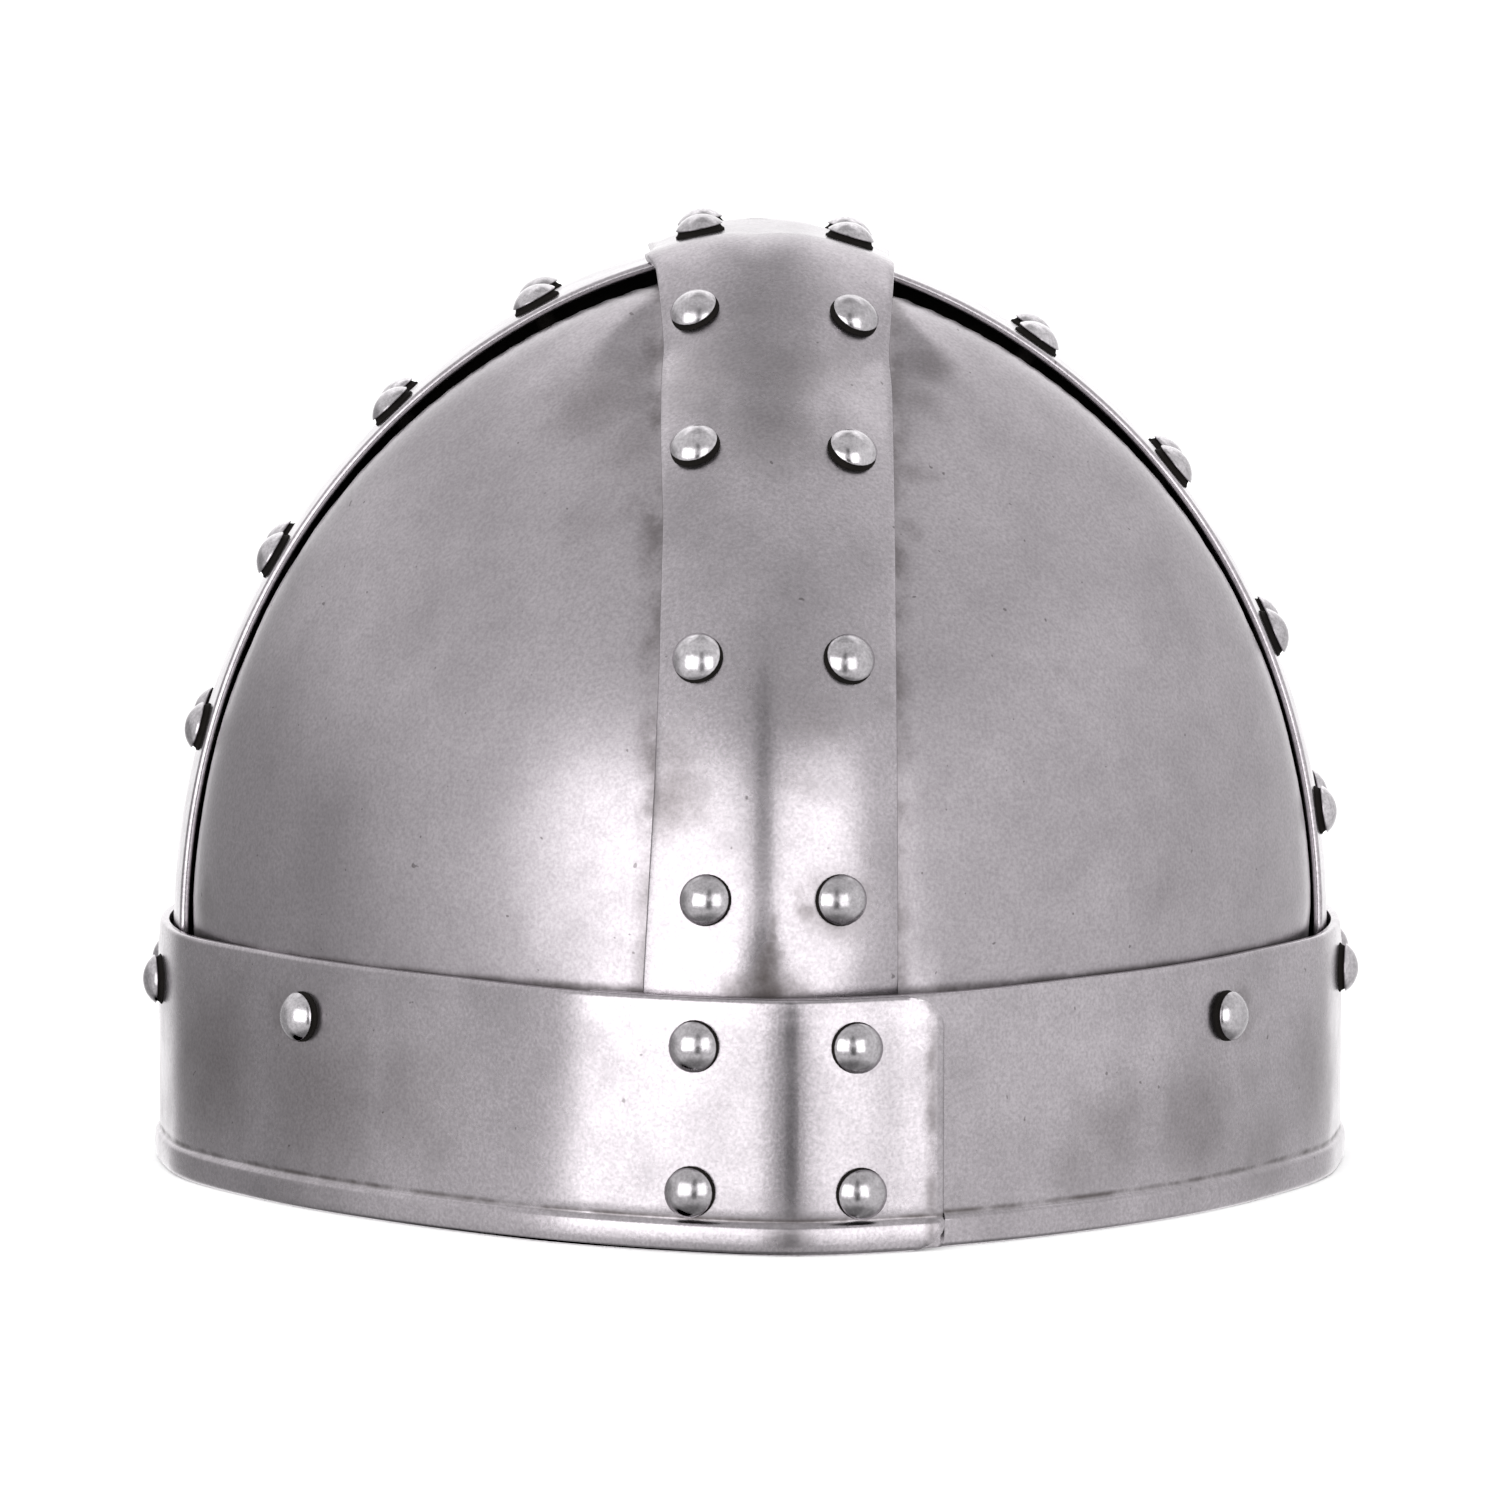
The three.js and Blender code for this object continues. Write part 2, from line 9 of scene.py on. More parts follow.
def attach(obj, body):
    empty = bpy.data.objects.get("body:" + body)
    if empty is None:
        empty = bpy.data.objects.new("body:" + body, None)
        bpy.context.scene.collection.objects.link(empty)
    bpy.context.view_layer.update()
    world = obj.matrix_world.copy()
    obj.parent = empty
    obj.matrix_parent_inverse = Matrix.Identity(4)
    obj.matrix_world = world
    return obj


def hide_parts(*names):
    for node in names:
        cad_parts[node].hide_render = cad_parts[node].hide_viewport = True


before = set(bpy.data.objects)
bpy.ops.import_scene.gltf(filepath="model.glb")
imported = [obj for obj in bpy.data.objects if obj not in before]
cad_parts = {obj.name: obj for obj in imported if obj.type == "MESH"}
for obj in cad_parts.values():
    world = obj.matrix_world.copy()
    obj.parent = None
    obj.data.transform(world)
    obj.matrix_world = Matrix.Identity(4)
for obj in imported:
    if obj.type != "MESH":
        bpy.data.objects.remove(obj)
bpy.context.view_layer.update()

MM = 0.001
ROW_SHIFT = (-0.0875, 0.5866, 0.0)  # millimetres, from the part's drawing to the shared frame

# Sizes in millimetres. These are the part's own, as its source has them
DOME_HALF_WIDTH = 98.0
DOME_HALF_LENGTH = 109.0
DOME_TOP = 158.6
WALL_TOP = 40.0
KEEL_POWER_NEAR = 1.4
KEEL_POWER_FAR = 1.8
KEEL_SIDE_STEP = 5.0
CROWN_LEAN = 1.1
SHEET = 1.6
SHEET_GAP = 0.3
STRAP_SEAT = 0.7
CROWN_SEAT = 2.4
CROSSING_SEAT = 1.0
SKIRT_BOTTOM = 20.0
PLATE_EDGE_GAP = 6.0
STRAP_HALF = 39.3 / 2
FRONT_STRAP_CENTRE = 4.0
FRONT_EDGE_LIFT = 0.3
SIDE_EDGE_LIFT_LOW = 1.1
SIDE_EDGE_LIFT_HIGH = 3.0
CROSSING_RUN_OUT = 58.0
CROSSING_WAIST = 0.92
WAIST_TURNS = (9.0, 29.0)
BROW_HEIGHT = 42.0
BROW_DIAGONAL = 1.0
BROW_SIDE = 4.3
BROW_FRONT = 4.1
BROW_BACK = 3.6
BROW_STEP_FLAT = 5.0
BROW_STEP_EASE = 28.0
LAP_INNER_END = -24.0
LAP_OUTER_END = 28.4
LAP_EASE = 44.0
LAP_CORNER = 6.0
HEAD_RADIUS = 4.1
SHANK_RADIUS = 1.7
TAIL_RADIUS = 3.1
TAIL_HEIGHT = 1.0

# The finer forms of the real sheets, on top of the source's
STRAP_SIDE_STEP = 2.2  # the front strap's soft ridge stands further left than the plates'
BROW_SIDE_STEP = 6.8  # and the brow band's further right
PLATE_SWELL_LOW = 2.3  # each plate bulges beside the side strap, at its foot
PLATE_SWELL_HIGH = 4.6  # and near the crown
PLATE_SWELL_MIDDLE = 0.7  # with a little more halfway up
PLATE_SWELL_PEAK_ABOVE = 10.0  # and this much higher than that
PLATE_SWELL_SETS_IN = 10.0  # it is whole from this far over the wall
PLATE_SWELL_STARTS = (0.8, 1.25)  # in halves of the side strap's width from its middle
PLATE_SWELL_ENDS = (1.25, 3.2)
STRAP_ROOM = 0.3  # the bulge keeps this far under the front strap
STRAP_ROOM_SLOPE = 0.3  # and rises from its edge at this slope
SOFT_CORNER = 3.0  # where the two meet the corner is softened, sharper for a larger number
SEAM = 0.15  # a hair under the side strap's inner face
FRONT_EDGE_TURN_IN = 0.8  # the front strap is hammered over along both edges
FRONT_ARCH = 3.2  # and arched across near the crown
CROSSING_ARCH = 1.0  # less so where the straps cross
CROSSING_ARCH_END = 40.0  # up to this far from the crossing
FRONT_MIDDLE_RISE = 1.6
FRONT_ARCH_HEIGHTS = (100.0, 140.0)  # the heights between which a form sets in or runs out
FRONT_MIDDLE_HEIGHTS = (60.0, 115.0)
FRONT_MIDDLE_REACH = (25.0, 60.0)  # and the same in distance from the crossing
SIDE_ARCH = 0.9
SIDE_ARCH_EASE = 14.0
RIDGE_HALF = 9.0  # the dome's point is hammered round at the crown
RIDGE_ROUNDING = 0.85
RIDGE_HEIGHTS = (148.0, 156.0)
KEEL_SINK = 0.26  # the point down the near side is a little round too
KEEL_SINK_HALF = 3.2
KEEL_SINK_STRAP = 1.4  # more so at the strap's foot
KEEL_SINK_HEIGHTS = (44.0, 58.0)
THINNEST_SEAT = 0.25
BROW_FLARE = 2.6
BROW_FLARE_FROM = 15.0  # it sets in this far from the side strap's middle
# The front strap's left edge as cut by hand: degrees from the crown, and how far it runs in there
LEFT_EDGE_TURNS = [0.0, 6.5, 9.4, 13.0, 16.0, 22.0, 35.0, 45.0, 60.0, 71.0, 88.0]
LEFT_EDGE_RUNS = [0.0, -1.0, -1.9, 0.0, 0.3, 0.9, 1.0, 1.6, 1.1, 0.4, -1.3]

ARC_RISE = DOME_TOP - WALL_TOP
ARC_RADIUS = (ARC_RISE ** 2 / DOME_HALF_WIDTH + DOME_HALF_WIDTH) / 2
ARC_CENTRE = DOME_HALF_WIDTH - ARC_RADIUS
HALVINGS = 36
SLOPE_STEP = 0.5


# The sheets' surfaces, on whole arrays of points in the drawing's millimetres
def ease(value, low, high):
    """From 0 at low to 1 at high, with soft ends."""
    t = np.clip((value - low) / (high - low), 0.0, 1.0)
    return t * t * (3.0 - 2.0 * t)


def mix(a, b, t):
    return a + (b - a) * t


def width_share(height):
    """How wide the dome is at a height, as a share of its foot."""
    rise = np.clip(height - WALL_TOP, 0.0, ARC_RISE)
    return np.maximum((ARC_CENTRE + np.sqrt(ARC_RADIUS ** 2 - rise ** 2)) / DOME_HALF_WIDTH, 0.0)


def plan_terms(p, side_step=KEEL_SIDE_STEP):
    """A point's distances from the plan's two axes, as shares, and the plan curve's power there."""
    x, y, z = p[..., 0], p[..., 1], p[..., 2]
    t = np.clip((z - WALL_TOP) / ARC_RISE, 0.0, 1.0)
    power = mix(np.where(y < 0, KEEL_POWER_NEAR, KEEL_POWER_FAR), KEEL_POWER_FAR, t)
    shift = CROWN_LEAN * t + np.where(y < 0, side_step, KEEL_SIDE_STEP) * (y / DOME_HALF_LENGTH) ** 2
    return power, np.abs(x - shift) / DOME_HALF_WIDTH, np.abs(y) / DOME_HALF_LENGTH


def plan_share(p, side_step=KEEL_SIDE_STEP):
    """The share of the whole plan curve on which a point lies."""
    power, across, along = plan_terms(p, side_step)
    low = np.full(across.shape, 1e-9)
    high = np.full(across.shape, 2.0)
    for _ in range(HALVINGS):
        middle = (low + high) / 2
        beyond = (across / middle) ** power + (along / middle) ** 2 >= 1.0
        low = np.where(beyond, middle, low)
        high = np.where(beyond, high, middle)
    return (low + high) / 2


def outside(p, side_step=KEEL_SIDE_STEP):
    """Whether points lie outside the plates' outer face."""
    power, across, along = plan_terms(p, side_step)
    share = np.maximum(width_share(p[..., 2]), 1e-6)
    return ((across / share) ** power + (along / share) ** 2 > 1.0) | (p[..., 2] >= DOME_TOP)


def on_dome(origin, direction, side_step=KEEL_SIDE_STEP):
    """Where rays from inside meet the plates' outer face."""
    origin, direction = np.broadcast_arrays(np.asarray(origin, float), np.asarray(direction, float))
    low = np.zeros(origin.shape[:-1])
    high = np.full(origin.shape[:-1], 2 * DOME_HALF_LENGTH)
    for _ in range(HALVINGS):
        middle = (low + high) / 2
        out = outside(origin + direction * middle[..., None], side_step)
        high = np.where(out, middle, high)
        low = np.where(out, low, middle)
    return origin + direction * ((low + high) / 2)[..., None]


def normal_at(p, side_step=KEEL_SIDE_STEP):
    """The plates' outward direction at points on or near their outer face."""
    normal = np.zeros(p.shape)
    for axis in range(3):
        step = np.zeros(3)
        step[axis] = SLOPE_STEP
        ahead = plan_share(p + step, side_step) - width_share((p + step)[..., 2])
        behind = plan_share(p - step, side_step) - width_share((p - step)[..., 2])
        normal[..., axis] = ahead - behind
    return normal / np.linalg.norm(normal, axis=-1, keepdims=True)


def side_strap_offset(p):
    """How far the side strap's inner face stands off the dome."""
    high = ease(p[..., 2], WALL_TOP, DOME_TOP)
    lift = mix(SIDE_EDGE_LIFT_LOW, SIDE_EDGE_LIFT_HIGH, high)
    flat = mix(STRAP_SEAT, CROWN_SEAT, high) + lift * (p[..., 1] / STRAP_HALF) ** 2
    beside_crossing = ease(np.abs(p[..., 0] - FRONT_STRAP_CENTRE), STRAP_HALF, STRAP_HALF + SIDE_ARCH_EASE)
    return flat + SIDE_ARCH * beside_crossing * (1 - (p[..., 1] / STRAP_HALF) ** 2)


def plate_lift(p):
    """Each plate is dished: it bulges beside the side strap and falls away towards it."""
    height = p[..., 2]
    strap_halves = np.abs(p[..., 1]) / STRAP_HALF
    peak = (WALL_TOP + DOME_TOP) / 2 + PLATE_SWELL_PEAK_ABOVE
    fuller = PLATE_SWELL_MIDDLE * ease(height, WALL_TOP, peak) * (1 - ease(height, peak, DOME_TOP))
    swell = mix(PLATE_SWELL_LOW, PLATE_SWELL_HIGH, ease(height, WALL_TOP, DOME_TOP)) + fuller
    swell = swell * ease(height, SKIRT_BOTTOM, WALL_TOP + PLATE_SWELL_SETS_IN)
    return swell * ease(strap_halves, *PLATE_SWELL_STARTS) * (1 - ease(strap_halves, *PLATE_SWELL_ENDS))


def keel_sink(p, side_step):
    """How far the near side's soft point is hammered round."""
    rise = np.clip((p[..., 2] - WALL_TOP) / ARC_RISE, 0.0, 1.0)
    off = p[..., 0] - side_step * (p[..., 1] / DOME_HALF_LENGTH) ** 2 - CROWN_LEAN * rise
    return np.where(p[..., 1] < 0, KEEL_SINK * np.exp(-(off / KEEL_SINK_HALF) ** 2), 0.0)


def front_strap_offset(p):
    """How far the front strap's inner face stands off the dome: it climbs over the side strap."""
    height = p[..., 2]
    from_crossing = np.abs(p[..., 1])
    across = np.abs(p[..., 0] - FRONT_STRAP_CENTRE) / STRAP_HALF
    low = STRAP_SEAT + FRONT_EDGE_LIFT * across ** 2 - FRONT_EDGE_TURN_IN * across ** 4
    arch = mix(CROSSING_ARCH, FRONT_ARCH, ease(from_crossing, STRAP_HALF, CROSSING_ARCH_END))
    arch = arch * across ** 2 * ease(height, *FRONT_ARCH_HEIGHTS)
    risen = FRONT_MIDDLE_RISE * (1 - across ** 2)
    risen = risen * ease(height, *FRONT_MIDDLE_HEIGHTS) * ease(from_crossing, *FRONT_MIDDLE_REACH)
    reach = np.minimum(from_crossing / STRAP_HALF, 1.0)
    over = CROWN_SEAT + SIDE_EDGE_LIFT_HIGH * reach ** 2 + SHEET + CROSSING_SEAT
    run = mix(over, low, ease(from_crossing, STRAP_HALF + SHEET_GAP, CROSSING_RUN_OUT))
    off_ridge = np.clip(np.abs(p[..., 0] - CROWN_LEAN) / RIDGE_HALF, 0.0, 1.0)
    rounded = RIDGE_ROUNDING * (1 - off_ridge) ** 2 * ease(height, *RIDGE_HEIGHTS)
    sunk = KEEL_SINK_STRAP * keel_sink(p, STRAP_SIDE_STEP) * (1 - ease(height, *KEEL_SINK_HEIGHTS))
    return np.maximum(run - arch, THINNEST_SEAT) + risen - (rounded + sunk)


def front_strap_feet(turn, lateral):
    """Points of the dome under the front strap, by the turn from the crown and the place across it."""
    low, high = (math.radians(d) for d in WAIST_TURNS)
    span = mix(CROSSING_WAIST, 1.0, ease(np.abs(turn), low, high))
    pull = np.interp(np.degrees(np.abs(turn)), LEFT_EDGE_TURNS, LEFT_EDGE_RUNS)
    pull = pull * np.clip(-lateral / STRAP_HALF, 0.0, 1.0) ** 2
    origin = np.stack([FRONT_STRAP_CENTRE + lateral * span + pull, 0 * turn, WALL_TOP + 0 * turn], -1)
    return on_dome(origin, np.stack([0 * turn, np.sin(turn), np.cos(turn)], -1), STRAP_SIDE_STEP)


def side_strap_feet(turn, lateral):
    """The same under the side strap."""
    origin = np.stack([CROWN_LEAN + 0 * turn, lateral, WALL_TOP + 0 * turn], -1)
    return on_dome(origin, np.stack([np.sin(turn), 0 * turn, np.cos(turn)], -1))


def wall_point(degrees):
    """A point of the upright wall that the brow band follows, by the angle of the plan curve."""
    turn = np.radians(degrees)
    cosine = np.cos(turn)
    y = DOME_HALF_LENGTH * np.sin(turn)
    power = np.where(y < 0, KEEL_POWER_NEAR, KEEL_POWER_FAR)
    x = np.sign(cosine) * DOME_HALF_WIDTH * np.abs(cosine) ** (2 / power)
    step = np.where(y < 0, BROW_SIDE_STEP, KEEL_SIDE_STEP)
    return np.stack([x + step * np.sin(turn) ** 2, y, 0 * y], -1)


def near_angle_at(x):
    """The angle at which the near side's wall passes a place across."""
    low, high = -180.0, 0.0
    for _ in range(HALVINGS):
        middle = (low + high) / 2
        if wall_point(np.array(middle))[0] < x:
            low = middle
        else:
            high = middle
    return (low + high) / 2


def brow_offset(p):
    """How far the brow band's inner face stands off the wall: it steps out over each strap's foot."""
    flat = STRAP_HALF + BROW_STEP_FLAT
    over_front = 1 - ease(np.abs(p[..., 0] - FRONT_STRAP_CENTRE), flat, flat + BROW_STEP_EASE)
    over_side = 1 - ease(np.abs(p[..., 1]), flat, flat + BROW_STEP_EASE)
    end = np.where(p[..., 1] < 0, BROW_FRONT, BROW_BACK)
    return BROW_DIAGONAL + (end - BROW_DIAGONAL) * over_front + (BROW_SIDE - BROW_DIAGONAL) * over_side


def brow_flare(p, height):
    """The strip leans outwards at its foot between the straps."""
    flat = STRAP_HALF + BROW_STEP_FLAT
    clear = ease(np.abs(p[..., 0] - FRONT_STRAP_CENTRE), flat, flat + BROW_STEP_EASE)
    clear = clear * ease(np.abs(p[..., 1]), BROW_FLARE_FROM, flat + BROW_STEP_EASE)
    return BROW_FLARE * clear * (1 - height / BROW_HEIGHT)


def lap_rise(p):
    """The outer turn of the brow band climbs over its inner end."""
    raised = LAP_INNER_END - SHEET_GAP
    return (SHEET + SHEET_GAP) * ease(p[..., 0], raised - LAP_EASE, raised)


# How a piece is made
def deselect():
    if bpy.context.mode != "OBJECT":
        bpy.ops.object.mode_set(mode="OBJECT")
    bpy.ops.object.select_all(action="DESELECT")


def choose(piece):
    deselect()
    piece.select_set(True)
    bpy.context.view_layer.objects.active = piece


def edit(piece, *steps):
    """Runs edit-mode operators on all of a piece."""
    choose(piece)
    bpy.ops.object.mode_set(mode="EDIT")
    for operator, settings in steps:
        bpy.ops.mesh.select_all(action="SELECT")
        operator(**settings)
    bpy.ops.object.mode_set(mode="OBJECT")


def finish_with(piece, *modifiers):
    """Adds modifiers and applies them."""
    choose(piece)
    for kind, settings in modifiers:
        modifier = piece.modifiers.new(kind.title(), kind)
        for key, value in settings.items():
            setattr(modifier, key, value)
        bpy.ops.object.modifier_apply(modifier=modifier.name)


def laid_grid(name, points):
    """A grid of faces laid on points, given in millimetres as rows and columns."""
    deselect()
    rows, columns = points.shape[:2]
    bpy.ops.mesh.primitive_grid_add(x_subdivisions=columns - 1, y_subdivisions=rows - 1, size=1.0)
    piece = bpy.context.object
    piece.name = piece.data.name = name
    place = (points + np.array(ROW_SHIFT)).reshape(-1, 3) * MM
    piece.data.vertices.foreach_set("co", place.astype(np.float32).ravel())
    piece.data.update()
    return piece


def smooth(piece, degrees):
    choose(piece)
    bpy.ops.object.shade_smooth_by_angle(angle=math.radians(degrees))


def ready(piece, material, slot, *nodes, painted_shade_at=None):
    """Gives a piece its finish, painted black shade where the given test of place and normal holds, its body,
    and hides the CAD nodes it takes the place of.
    """
    piece.data.materials.clear()
    piece.data.materials.append(material)
    if painted_shade_at:
        # Faces that the test picks are painted black as shade
        piece.data.materials.append(gap_shade_finish)
        for face in piece.data.polygons:
            if painted_shade_at(face.center / MM, face.normal):
                face.material_index = 1
    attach(piece, "root")
    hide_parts(*nodes)


MERGE = (bpy.ops.mesh.remove_doubles, {"threshold": 0.004 * MM})
OUTWARDS = (bpy.ops.mesh.normals_make_consistent, {"inside": False})


# Finishes
def linear(hex_colour):
    """An sRGB hex colour as the linear one that a shader reads."""
    channels = [int(hex_colour[i:i + 2], 16) / 255 for i in (1, 3, 5)]
    return [c / 12.92 if c <= 0.04045 else ((c + 0.055) / 1.055) ** 2.4 for c in channels] + [1.0]


def add(tree, kind, sockets=(), out=0, **settings):
    """Adds a node with its settings, fills or links its sockets, and gives back one of its outputs."""
    node = tree.nodes.new("ShaderNode" + kind)
    for key, value in settings.items():
        setattr(node, key, value)
    for key, value in (sockets.items() if isinstance(sockets, dict) else enumerate(sockets)):
        if isinstance(value, bpy.types.NodeSocket):
            tree.links.new(value, node.inputs[key])
        else:
            node.inputs[key].default_value = value
    return node.outputs[out] if node.outputs else node


def bare_material(name):
    material = bpy.data.materials.new(name)
    material.use_nodes = True
    material.node_tree.nodes.clear()
    return material, material.node_tree


# Brown-black for dirt, used also for painted shade in crevices and stains
GRIME_AND_SHADE = "#3b332d"
RUST = "#2a221e"
WIPED_GREY = "#6d696c"
GRAIN_GREY = "#777376"
# Painted highlight: the near-white of the sheen band
SHEEN_WHITE = "#f4f2f3"
NEAR_SIDE = -0.03  # metres: what lies nearer the camera than this is on the near side


def satin_steel(name, hex_colour, roughness, crevices=(), stains_and_shade=(), pits=0.5, smudges=0.8, brush=(1, 1, 1),
                sheen_band=None):
    """Mild steel, belt-finished and wiped with oil. To the eye: a pale, slightly warm grey with blurred
    reflections, soft darker smudges and a fine grain, a few rust pricks, and brown-black dirt with painted
    shade along corners and creases and in stains, some of which paint dark reflections. The sheen band is a
    painted highlight."""
    material, tree = bare_material(name)
    place = add(tree, "TexCoord", out="Object")
    axes = {}
    for axis in ("X", "Y", "Z"):
        axes[axis.lower()] = add(tree, "SeparateXYZ", [place], out=axis)

    # Sizes in millimetres: smudges as wide as a hand, clouds from wiping, the belt's grain and strokes, and
    # rust pricks. Real belt grain is about 0.1 mm. It is drawn at 0.6 mm to show in the render.
    noises = {}
    for kind, size, detail, stretch, shift in (
            ("smudge", 34.0, 3.0, (1, 1, 1), 0.0),
            ("cloud", 9.0, 4.0, (1, 1, 1), 0.3),
            ("grain", 0.6, 2.0, (1, 1, 1), 0.7),
            ("brush", 1.1, 2.0, brush, 0.9),
            ("prick", 1.7, 1.0, (1, 1, 1), 1.9)):
        mapped = add(tree, "Mapping", {"Vector": place, "Location": (shift, shift, shift), "Scale": stretch})
        noises[kind] = add(tree, "TexNoise", {"Vector": mapped, "Scale": 1 / (size * MM), "Detail": detail,
                                              "Roughness": 0.6}, out="Fac")

    # How far each point lies beyond a band round a plane, in metres: the crevices', then the painted sheen
    # band
    beyond = []
    bands = list(crevices) + ([sheen_band] if sheen_band else [])
    for axis, centre, half in [band[:3] for band in bands]:
        off_centre = add(tree, "Math", [axes[axis], centre * MM], operation="SUBTRACT")
        off_centre = add(tree, "Math", [off_centre], operation="ABSOLUTE")
        beyond.append(add(tree, "Math", [off_centre, half * MM], operation="SUBTRACT"))

    # Dirt and painted shade lie along edges and creases, patchily
    dirt_and_shade = 0.0
    for away, (_, _, _, spread, strength, near_only) in zip(beyond, crevices):
        mark = add(tree, "MapRange", [away, 0.0, spread * MM, strength, 0.0],
                   interpolation_type="SMOOTHSTEP")
        if near_only:
            near = add(tree, "Math", [axes["y"], NEAR_SIDE], operation="LESS_THAN")
            mark = add(tree, "Math", [mark, near], operation="MULTIPLY")
        dirt_and_shade = add(tree, "Math", [dirt_and_shade, mark], operation="MAXIMUM")
    cloudy = add(tree, "MapRange", [noises["cloud"], 0.38, 0.62, 0.25, 1.0],
                 interpolation_type="SMOOTHSTEP")
    dirt_and_shade = add(tree, "Math", [dirt_and_shade, cloudy], operation="MULTIPLY")

    # And in stains, partly dirt and partly painted shade and dark reflections, whose edges wander by a few
    # millimetres; a prick under 1 mm stays round
    drift = add(tree, "TexNoise", {"Vector": place, "Scale": 1 / (7.0 * MM), "Detail": 3.0}, out="Color")
    drift = add(tree, "VectorMath", [drift, (0.5, 0.5, 0.5)], operation="SUBTRACT")
    drifted = add(tree, "VectorMath", [drift, (9.0 * MM, 9.0 * MM, 9.0 * MM), place],
                  operation="MULTIPLY_ADD")
    for centre, radius, strength in stains_and_shade:
        where = drifted if radius > 1.0 else place
        apart = add(tree, "VectorMath", [where, tuple(centre * MM)], out="Value", operation="DISTANCE")
        mark = add(tree, "MapRange", [apart, 0.0, radius * 1.2 * MM, strength, 0.0],
                   interpolation_type="SMOOTHSTEP")
        dirt_and_shade = add(tree, "Math", [dirt_and_shade, mark], operation="MAXIMUM")

    # The colour, laid over in turn: smudges, wiping, grain, the painted sheen band, dirt with painted shade,
    # rust pricks
    steel = linear(hex_colour)
    dull = [channel * smudges for channel in steel[:3]] + [1.0]
    worn = add(tree, "MapRange", [noises["smudge"], 0.36, 0.66], interpolation_type="SMOOTHSTEP")
    wiped = add(tree, "MapRange", [noises["cloud"], 0.35, 0.7, 0.0, 0.12], interpolation_type="SMOOTHSTEP")
    grained = add(tree, "MapRange", [noises["grain"], 0.3, 0.7, 0.0, 0.42])
    prick = add(tree, "MapRange", [noises["prick"], 0.775, 0.8, 0.0, pits], interpolation_type="SMOOTHSTEP")
    covers = [(worn, dull), (wiped, linear(WIPED_GREY)), (grained, linear(GRAIN_GREY))]
    # The sheen band is a painted highlight: a band painted lighter
    if sheen_band:
        sheen_mix = add(tree, "MapRange", [beyond[-1], 0.0, sheen_band[3] * MM, 0.5, 0.0],
                     interpolation_type="SMOOTHSTEP")
        covers.append((sheen_mix, linear(SHEEN_WHITE)))
    tone = steel
    for cover, colour in covers + [(dirt_and_shade, linear(GRIME_AND_SHADE)), (prick, linear(RUST))]:
        tone = add(tree, "Mix", {"Factor": cover, "A": tone, "B": colour}, out="Result", data_type="RGBA")

    # Dirt and painted shade are made duller than bare steel. The bump is the grain and the strokes, with the
    # pricks sunk in
    rough = add(tree, "MapRange", [noises["cloud"], 0.3, 0.7, roughness - 0.03, roughness + 0.04])
    rough = add(tree, "Math", [dirt_and_shade, 0.2, rough], operation="MULTIPLY_ADD")
    relief = add(tree, "Math", [noises["brush"], 0.6, noises["grain"]], operation="MULTIPLY_ADD")
    relief = add(tree, "Math", [relief, prick], operation="SUBTRACT")
    raised = add(tree, "Bump", {"Strength": 0.17, "Distance": 0.05 * MM, "Height": relief})
    shader = add(tree, "BsdfPrincipled", {"Base Color": tone, "Metallic": 1.0, "Roughness": rough,
                                          "Normal": raised})
    add(tree, "OutputMaterial", {"Surface": shader})
    return material


def painted_gap_shade():
    """Painted shade: black put on the faces in the gaps under the straps and the rivet heads. To the eye:
    black, dull and mottled.
    """
    material, tree = bare_material("painted_gap_shade_black")
    place = add(tree, "TexCoord", out="Object")
    mottle = add(tree, "TexNoise", {"Vector": place, "Scale": 1 / (2.5 * MM), "Detail": 3.0}, out="Fac")
    tone = add(tree, "Mix", {"Factor": mottle, "A": linear("#0c0b0a"), "B": linear("#1c1917")}, out="Result",
               data_type="RGBA")
    raised = add(tree, "Bump", {"Strength": 0.3, "Distance": 0.3 * MM, "Height": mottle})
    shader = add(tree, "BsdfPrincipled", {"Base Color": tone, "Metallic": 0.0, "Roughness": 0.9,
                                          "Normal": raised, "Specular IOR Level": 0.08})
    add(tree, "OutputMaterial", {"Surface": shader})
    return material


# The camera, in the shared frame's millimetres and degrees
CAMERA_PLACE = (-0.085, -1500.0, 226.45)
CAMERA_DIP = 5.9177
CAMERA_LENS = 206.25
SENSOR = 36.0
PICTURE = 1500
NEAREST, FARTHEST = 1000.0, 1520.0  # where along a line of sight the helmet's near side lies
MARK_LEAD = 2.5  # a mark's centre lies this far in front of the dome, about where the sheets' faces are


def seen_at(across, down):
    """Where the camera sees the helmet at a pixel of the 1500 x 1500 picture, in millimetres."""
    turn = Matrix.Rotation(math.radians(90 - CAMERA_DIP), 3, "X")
    half = PICTURE / 2
    way = Vector(((across - half) / half, (half - down) / half, -2 * CAMERA_LENS / SENSOR))
    way = np.array(turn @ way.normalized())
    start = np.array(CAMERA_PLACE) - np.array(ROW_SHIFT)
    low, high = NEAREST, FARTHEST
    for _ in range(HALVINGS):
        middle = (low + high) / 2
        if outside((start + way * middle)[None])[0]:
            low = middle
        else:
            high = middle
    return start + way * (low - MARK_LEAD) + np.array(ROW_SHIFT)


def spots(marks):
    """Dark marks, dirt and painted shade, from (pixel across, pixel down, radius in millimetres, strength)."""
    return [(seen_at(across, down), radius, strength) for across, down, radius, strength in marks]


front_x = FRONT_STRAP_CENTRE + ROW_SHIFT[0]
side_y = ROW_SHIFT[1]
